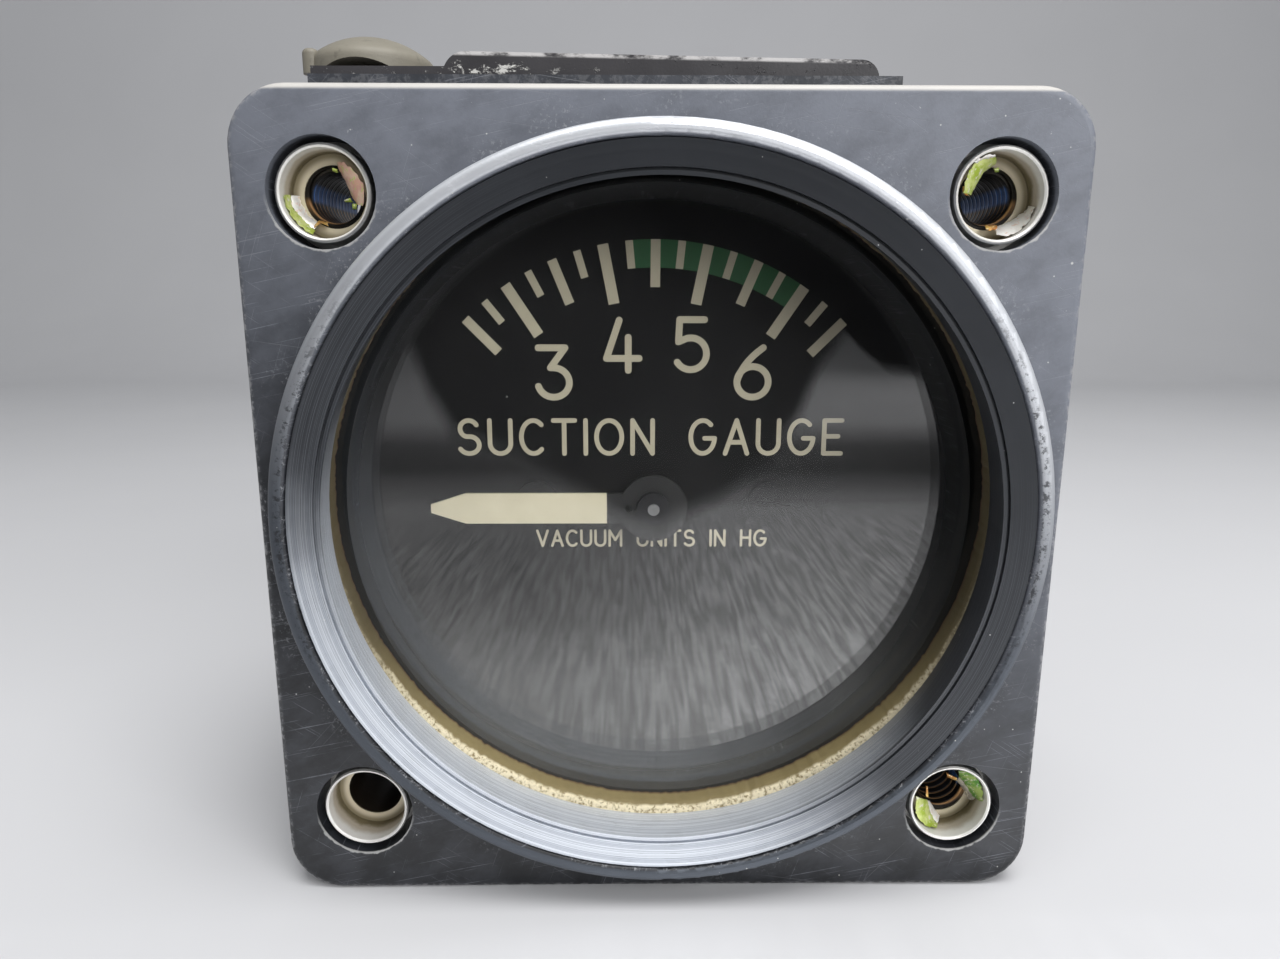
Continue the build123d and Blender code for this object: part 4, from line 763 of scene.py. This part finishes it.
# Bent flaps of the spring clips: hole, finish, then the front and the rear edge as a depth and (x, z) from
# the hole's middle
HOLES = {"TL": (-1, 1), "TR": (1, 1), "BR": (1, -1)}
FLAPS = (
    ("TL", "green",
     1.1, [(-2.97, -0.06), (-2.86, -0.81), (-2.55, -1.52), (-2.11, -2.09), (-1.63, -2.48), (-1.16, -2.73)],
     2.3, [(-2.97, 0.08), (-2.91, -0.62), (-2.51, -1.2), (-2.09, -1.69), (-1.62, -2.13), (-1.35, -2.33)]),
    ("TL", "white",
     2.32, [(-2.97, 0.05), (-2.91, -0.61), (-2.52, -1.2), (-2.1, -1.69), (-1.63, -2.13), (-1.43, -2.26)],
     2.9, [(-2.56, 0.08), (-2.36, -0.65), (-2.05, -1.19), (-1.69, -1.54), (-1.29, -1.72), (-1.19, -1.82)]),
    ("TL", "tab",
     2.3, [(-1.4, -2.18), (-0.99, -1.87), (-0.41, -2.08)],
     2.85, [(-1.61, -1.86), (-1.24, -1.62), (-0.64, -1.78)]),
    ("TL", "pink",
     1.1, [(1.22, 2.16), (1.79, 1.86), (2.25, 1.32), (2.62, 0.66), (2.67, -0.05), (2.49, -0.77)],
     2.4, [(0.45, 2.29), (0.59, 1.81), (0.88, 1.3), (1.17, 0.67), (1.37, -0.01), (1.7, -0.55)]),
    ("TL", "tabgreen",
     2.2, [(0.21, 1.87), (0.53, 1.85)],
     2.5, [(0.14, 1.69), (0.48, 1.65)]),
    ("TL", "tabgreen",
     2.2, [(0.89, -0.28), (1.3, -0.13)],
     2.5, [(0.87, -0.39), (1.41, -0.39)]),
    ("TL", "tabgreen",
     2.2, [(1.46, -0.52), (1.78, -0.52)],
     2.5, [(1.38, -0.9), (1.63, -0.9)]),
    ("TR", "green",
     1.1, [(-2.44, 0.21), (-2.37, 0.84), (-2.2, 1.5), (-1.79, 2.19), (-1.3, 2.53), (-0.43, 2.72)],
     2.3, [(-1.42, 0.19), (-1.24, 0.62), (-1, 1.11), (-0.67, 1.72), (-0.26, 2.04), (0.2, 2.4)]),
    ("TR", "white",
     0.95, [(-1.87, 2.22), (-1.36, 2.59), (-0.93, 2.74), (-0.5, 2.76)],
     1.2, [(-1.61, 2.2), (-1.2, 2.47), (-0.81, 2.52), (-0.36, 2.61)]),
    ("TR", "tab",
     1.4, [(-2.38, 0.68), (-2.37, 0.3), (-2.19, 0.09)],
     1.9, [(-2.05, 0.7), (-1.98, 0.36), (-1.67, 0.07)]),
    ("TR", "tabgreen",
     2.2, [(0.01, 2), (0.31, 2.07)],
     2.5, [(0.23, 1.8), (0.52, 1.82)]),
    ("TR", "white",
     1.3, [(0.26, -2.64), (0.96, -2.68), (1.51, -2.56), (2.04, -2.16), (2.51, -1.59), (2.73, -0.72)],
     2.6, [(0.61, -2.05), (1.02, -1.81), (1.73, -1.53), (2.32, -1.19), (2.75, -0.81), (2.93, -0.51)]),
    ("TR", "tab",
     2.3, [(-0.16, -2.18), (0.21, -2.26), (0.64, -2.17)],
     2.6, [(-0.11, -1.93), (0.3, -1.83), (0.71, -1.85)]),
    ("BR", "green",
     1.2, [(-2.53, 0.22), (-2.46, -1.26), (-2.1, -2.03), (-1.6, -2.5), (-0.74, -2.71)],
     2.3, [(-1.19, -0.83), (-0.88, -1.91), (-0.59, -2.46), (-0.35, -2.85), (-0.17, -2.96)]),
    ("BR", "white",
     2.32, [(-1.19, -0.84), (-0.87, -1.93), (-0.58, -2.47), (-0.34, -2.86), (-0.18, -2.96)],
     2.85, [(-0.74, -1.26), (-0.36, -1.96), (-0.1, -2.35), (0.18, -2.64), (0.12, -2.79)]),
    ("BR", "tab",
     2.3, [(-1.38, 0.47), (-1.29, -0.44)],
     2.5, [(-1.14, 0.35), (-1.01, -0.65)]),
    ("BR", "deepgreen",
     1.2, [(0.78, 2.46), (1.56, 2.39), (2.42, 1.72), (2.92, 0.52), (2.96, -0.25)],
     2.3, [(1.33, 1.3), (1.82, 0.73), (2.17, 0.12), (2.58, -0.47), (2.88, -0.72)]),
    ("BR", "grey",
     2.32, [(1.34, 1.24), (1.83, 0.72), (2.18, 0.11), (2.59, -0.48), (2.88, -0.71)],
     2.85, [(1.26, 0.66), (1.77, 0.15), (2.12, -0.38), (2.29, -0.81), (2.49, -1.15)]),
    ("BR", "tab",
     2.2, [(0.18, 1.74), (0.62, 1.44), (1.05, 1.25)],
     2.5, [(0.41, 1.18), (0.76, 0.98), (1.16, 0.86)]),
)


def resampled(rail, count):
    """Evenly spaced points along a line of points."""
    points = [Vector(p) for p in rail]
    lengths = [0.0]
    for a, b in zip(points, points[1:]):
        lengths.append(lengths[-1] + (b - a).length)
    found = []
    for i in range(count):
        want = lengths[-1] * i / (count - 1)
        k = max(j for j in range(len(lengths) - 1) if lengths[j] <= want + 1e-9)
        share = (want - lengths[k]) / max(lengths[k + 1] - lengths[k], 1e-9)
        found.append(points[k].lerp(points[k + 1], min(share, 1.0)))
    return found


def side_of(a, b, c):
    """Whether a face through three points looks forward."""
    a, b, c = Vector(a), Vector(b), Vector(c)
    return (b - a).cross(c - a).y < 0


def clip_flaps():
    """The torn and bent flaps of the spring clips, one piece for each finish."""
    columns, rows = 22, 5
    made = {}
    for hole, kind, y_front, front_rail, y_rear, rear_rail in FLAPS:
        points, faces = made.setdefault(kind, ([], []))
        side, level = HOLES[hole]
        fronts, rears = resampled(front_rail, columns), resampled(rear_rail, columns)
        base = len(points)
        for layer in (0, 1):
            for i, (a, b) in enumerate(zip(fronts, rears)):
                for k in range(rows):
                    share = k / (rows - 1)
                    flat = a.lerp(b, share)
                    y = y_front + (y_rear - y_front) * share
                    ragged = noise.noise(Vector((flat.x * 4.0, flat.y * 4.0, y_front)))
                    bulge = 0.10 * math.sin(math.pi * share) + 0.07 * ragged
                    edge = 1.0 + (0.05 * ragged if k in (0, rows - 1) else 0.0)
                    reach = min(flat.length * edge, FLAP_REACH)
                    flat = flat.normalized() * reach
                    points.append((
                        side * MOUNT_REACH + flat.x,
                        y - bulge + layer * FLAP_THICKNESS,
                        level * MOUNT_REACH + flat.y,
                    ))
        size = columns * rows
        turned = side_of(points[base], points[base + rows], points[base + 1])

        def put(*corners):
            faces.append(tuple(base + c for c in (corners if turned else corners[::-1])))

        for i in range(columns - 1):
            for k in range(rows - 1):
                a, b, c, d = i * rows + k, (i + 1) * rows + k, (i + 1) * rows + k + 1, i * rows + k + 1
                put(a, b, c, d)
                put(size + d, size + c, size + b, size + a)
            for k in (0, rows - 1):
                a, b = i * rows + k, (i + 1) * rows + k
                if k:
                    put(a, b, size + b, size + a)
                else:
                    put(b, a, size + a, size + b)
        for i in (0, columns - 1):
            for k in range(rows - 1):
                a, b = i * rows + k, i * rows + k + 1
                if i:
                    put(b, a, size + a, size + b)
                else:
                    put(a, b, size + b, size + a)
    for kind, (points, faces) in made.items():
        piece = add_piece("clip_" + kind, points, faces, CLIP_FINISHES[kind], smooth_angle=40)
        if kind == "green":
            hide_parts("spring_clips")


def ragged_gasket():
    """The slumped gasket: thick below the glass, thin at the sides, with a crumbling front edge."""
    steps = 720
    outer = GLASS_RADIUS - 0.1
    points = []
    for i in range(steps):
        turn = 2 * math.pi * i / steps
        across, up = math.cos(turn), math.sin(turn)
        place = Vector((across, up, 0.0))
        slow = noise.noise(place * 9.0)
        quick = noise.noise(place * 60.0 + Vector((0, 0, 4.0)))
        crumb = noise.noise(place * 170.0 + Vector((0, 0, 9.0)))
        slump = max(0.0, min(1.0, (0.35 - up) / 1.35))
        inner = (
            GASKET_INNER - GASKET_SLUMP * slump * slump * (3 - 2 * slump)
            + 0.05 * slow + 0.07 * quick + 0.05 * crumb
        )
        lip = 0.10 + 0.10 * (quick + 0.5 * crumb)
        section = (
            (outer, GASKET_FRONT + 0.02),
            (inner + 0.45, GASKET_FRONT + 0.02),
            (inner + 0.2, GASKET_FRONT + 0.04 + max(0.0, lip)),
            (inner + 0.04, GASKET_FRONT + 0.25 + max(0.0, lip)),
            (inner, GASKET_FRONT + 0.8),
            (inner + 0.06 * crumb, GLASS_FRONT - 0.02),
            (outer, GLASS_FRONT - 0.02),
        )
        points += [(r * across, y, r * up) for r, y in section]
    rows = 7
    faces = []
    for i in range(steps):
        j = (i + 1) % steps
        for k in range(rows):
            m = (k + 1) % rows
            faces.append((i * rows + k, j * rows + k, j * rows + m, i * rows + m))
    piece = add_piece("gasket_ring", points, faces, MATERIALS["gasket_tan"], smooth_angle=50)
    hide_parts("glass_gasket")


def look_at(place, target):
    """The turn of a lamp at place that shines at target."""
    return (vector_mm(target) - vector_mm(place)).to_track_quat("-Z", "Y").to_matrix().to_4x4()


def area_light(name, place, target, wide, tall, power):
    """A soft rectangular lamp, placed and sized in millimetres."""
    lamp = bpy.data.lights.new(name, "AREA")
    lamp.shape = "RECTANGLE"
    lamp.size = wide * MM
    lamp.size_y = tall * MM
    lamp.energy = power
    holder = bpy.data.objects.new(name, lamp)
    holder.matrix_world = Matrix.Translation(vector_mm(place)) @ look_at(place, target)
    bpy.context.scene.collection.objects.link(holder)
    return holder


def mirrored_piece(name, points, faces, shares, surface):
    """A stage piece that only mirrored rays see. Each corner has a share of its surface, and the rest is clear."""
    g = Graph(name)
    share = g.node("VertexColor", {}, layer_name="share").outputs["Color"]
    clear = g.node("BsdfTransparent", {"Color": (1.0, 1.0, 1.0)}).outputs[0]
    g.put(g.output.inputs["Surface"], g.node("MixShader", {0: share, 1: clear, 2: surface(g, clear)}).outputs[0])
    mesh = bpy.data.meshes.new(name)
    mesh.from_pydata([vector_mm(p) for p in points], [], faces)
    layer = mesh.color_attributes.new("share", "FLOAT_COLOR", "POINT")
    for corner, value in zip(layer.data, shares):
        corner.color = (value, value, value, 1.0)
    mesh.materials.append(g.material)
    piece = bpy.data.objects.new(name, mesh)
    bpy.context.scene.collection.objects.link(piece)
    piece.visible_camera = False
    piece.visible_diffuse = False
    piece.visible_shadow = False


def black_surface(g, clear):
    """A surface with no light on it."""
    return g.node("Emission", {"Color": (0.0, 0.0, 0.0), "Strength": 0.0}).outputs[0]


def shade_surface(g, clear):
    """Black with streaks of light, thinner on the right of the floor near the gauge."""
    x, y, _ = g.axes()
    thin = g.both(g.fade(x, -30.0, 30.0), g.fade(y, -150.0, -110.0))
    streaks = g.fade(g.noise(g.point((0.9, 0.05, 1.0)), 0.9, 2.0, 0.5), 0.40, 0.62)
    streaks = g.both(streaks, g.fade(y, -150.0, -75.0, 0.05, 0.28))
    light = g.either(g.both(thin, 0.5), streaks)
    black = black_surface(g, clear)
    return g.node("MixShader", {0: g.calc("SUBTRACT", 1.0, light), 1: clear, 2: black}).outputs[0]


def streaky_light(g, clear):
    """Light added over the floor near the gauge, in streaks that run towards the viewer."""
    streaks = g.noise(g.point((0.9, 0.07, 1.0)), 0.8, 2.0, 0.5)
    spots = g.noise(g.point(), 3.0, 3.0, 0.6)
    level = g.both(g.fade(streaks, 0.38, 0.62, 0.32, 0.98), g.fade(spots, 0.35, 0.65, 0.6, 1.0))
    x = g.axes()[0]
    level = g.both(level, g.fade(x, -22.0, 22.0, 0.65, 2.1))
    glow = g.node("Emission", {"Color": (0.97, 0.98, 1.0), "Strength": level}).outputs[0]
    return g.node("AddShader", {0: glow, 1: clear}).outputs[0]


def strip(name, rows, half, z, surface):
    """A level strip of floor, with a share of its surface at each distance."""
    points = [(side * half, y, z) for y, _ in rows for side in (-1, 1)]
    faces = [(2 * i, 2 * i + 1, 2 * i + 3, 2 * i + 2) for i in range(len(rows) - 1)]
    mirrored_piece(name, points, faces, [share for _, share in rows for _ in (0, 1)], surface)


def mirrored_scene():
    """What the glass mirrors: the dark shape of a viewer, and a strip of painted shade and a strip of painted light
    on the floor between it and the gauge.
    """
    outline = [
        (-120.0, 120.0), (-120.0, 10.5), (-47.2, 10.2), (-39.0, 9.6), (-36.0, 1.3), (-32.1, -5.5), (-21.2, -8.9),
        (-12.7, -14.2), (-4.2, -19.9), (2.8, -21.7), (13.2, -16.8), (21.6, -9.8), (26.5, -2.0), (29.5, 5.6),
        (33.5, 11.5), (36.5, 8.4), (40.6, 5.4), (48.2, 4.4), (59.9, 6.0), (120.0, 8.0), (120.0, 120.0),
    ]
    centre = (0.0, 60.0)
    rings = []
    for spread in (0.985, 1.035):
        rings += [(centre[0] + (x - centre[0]) * spread, centre[1] + (z - centre[1]) * spread) for x, z in outline]
    count = len(outline)
    points = [(x, CARD_Y, z) for x, z in rings]
    faces = [list(range(count))]
    faces += [(i, (i + 1) % count, count + (i + 1) % count, count + i) for i in range(count)]
    mirrored_piece("viewer", points, faces, [1.0] * count + [0.0] * count, black_surface)
    # Painted shade: a dark strip on the floor, seen only in mirrored rays.
    rows = ((-30.0, 0.0), (-50.0, 0.66), (-70.0, 0.76), (-88.0, 0.72), (-118.0, 0.40), (-165.0, 0.90),
            (-205.0, 0.84), (-260.0, 0.25), (-420.0, 0.05), (-900.0, 0.0))
    strip("mirrored_shade", rows, 900.0, FLOOR_Z + 0.2, shade_surface)
    rows = ((-3.5, 0.9), (-10.0, 1.0), (-30.0, 0.85), (-55.0, 0.5), (-95.0, 0.3), (-130.0, 0.0))
    strip("mirrored_light", rows, 110.0, FLOOR_Z + 0.3, streaky_light)


def stage():
    """A pale floor that curves up into a backdrop, soft lamps and a plain world."""
    g = Graph("backdrop")
    mottle = g.noise(g.point(), 60.0, 2.0)
    g.surface(Base_Color=g.mix(mottle, (0.63, 0.63, 0.645), (0.67, 0.67, 0.685)), Roughness=0.9)
    half, near, far, bend_radius, top = 1500.0, -2500.0, 420.0, 200.0, 900.0
    profile = [(near, FLOOR_Z)]
    for i in range(25):
        a = math.radians(-90 + 90 * i / 24)
        profile.append((far + bend_radius * math.cos(a), FLOOR_Z + bend_radius * (1 + math.sin(a))))
    profile.append((far + bend_radius, top))
    points = [(side * half, y, z) for y, z in profile for side in (-1, 1)]
    faces = [(2 * i, 2 * i + 1, 2 * i + 3, 2 * i + 2) for i in range(len(profile) - 1)]
    mesh = bpy.data.meshes.new("backdrop")
    mesh.from_pydata([vector_mm(p) for p in points], [], faces)
    mesh.polygons.foreach_set("use_smooth", [True] * len(mesh.polygons))
    mesh.materials.append(g.material)
    sweep = bpy.data.objects.new("backdrop", mesh)
    bpy.context.scene.collection.objects.link(sweep)
    area_light("key", (60, -110, 420), (0, 0, 0), 300, 240, 1.65)
    area_light("fill", (250, -330, 190), (0, 0, 0), 240, 240, 1.1)
    world = bpy.data.worlds.new("studio")
    world.use_nodes = True
    tree = world.node_tree
    tree.nodes["Background"].inputs["Color"].default_value = (0.96, 0.98, 1.0, 1.0)
    tree.nodes["Background"].inputs["Strength"].default_value = 0.38
    bpy.context.scene.world = world


def add_camera():
    """The camera, where the photograph was taken from."""
    camera = bpy.data.cameras.new("camera")
    camera.sensor_width = SENSOR_WIDTH
    camera.sensor_fit = "HORIZONTAL"
    camera.lens = FOCAL_PIXELS / PHOTO_WIDTH * SENSOR_WIDTH
    camera.clip_start = 2 * MM
    camera.clip_end = 20.0
    view = Vector(CAMERA_VIEW).normalized()
    right = view.cross(Vector(CAMERA_UP)).normalized()
    up = right.cross(view)
    turn = Matrix((right, up, -view)).transposed().to_4x4()
    holder = bpy.data.objects.new("camera", camera)
    holder.matrix_world = Matrix.Translation(vector_mm(CAMERA_PLACE)) @ turn
    bpy.context.scene.collection.objects.link(holder)
    bpy.context.scene.camera = holder


dial_print()
ragged_gasket()
clip_flaps()
mirrored_scene()
stage()
add_camera()
bpy.context.scene.view_settings.view_transform = "Standard"

bpy.context.view_layer.update()
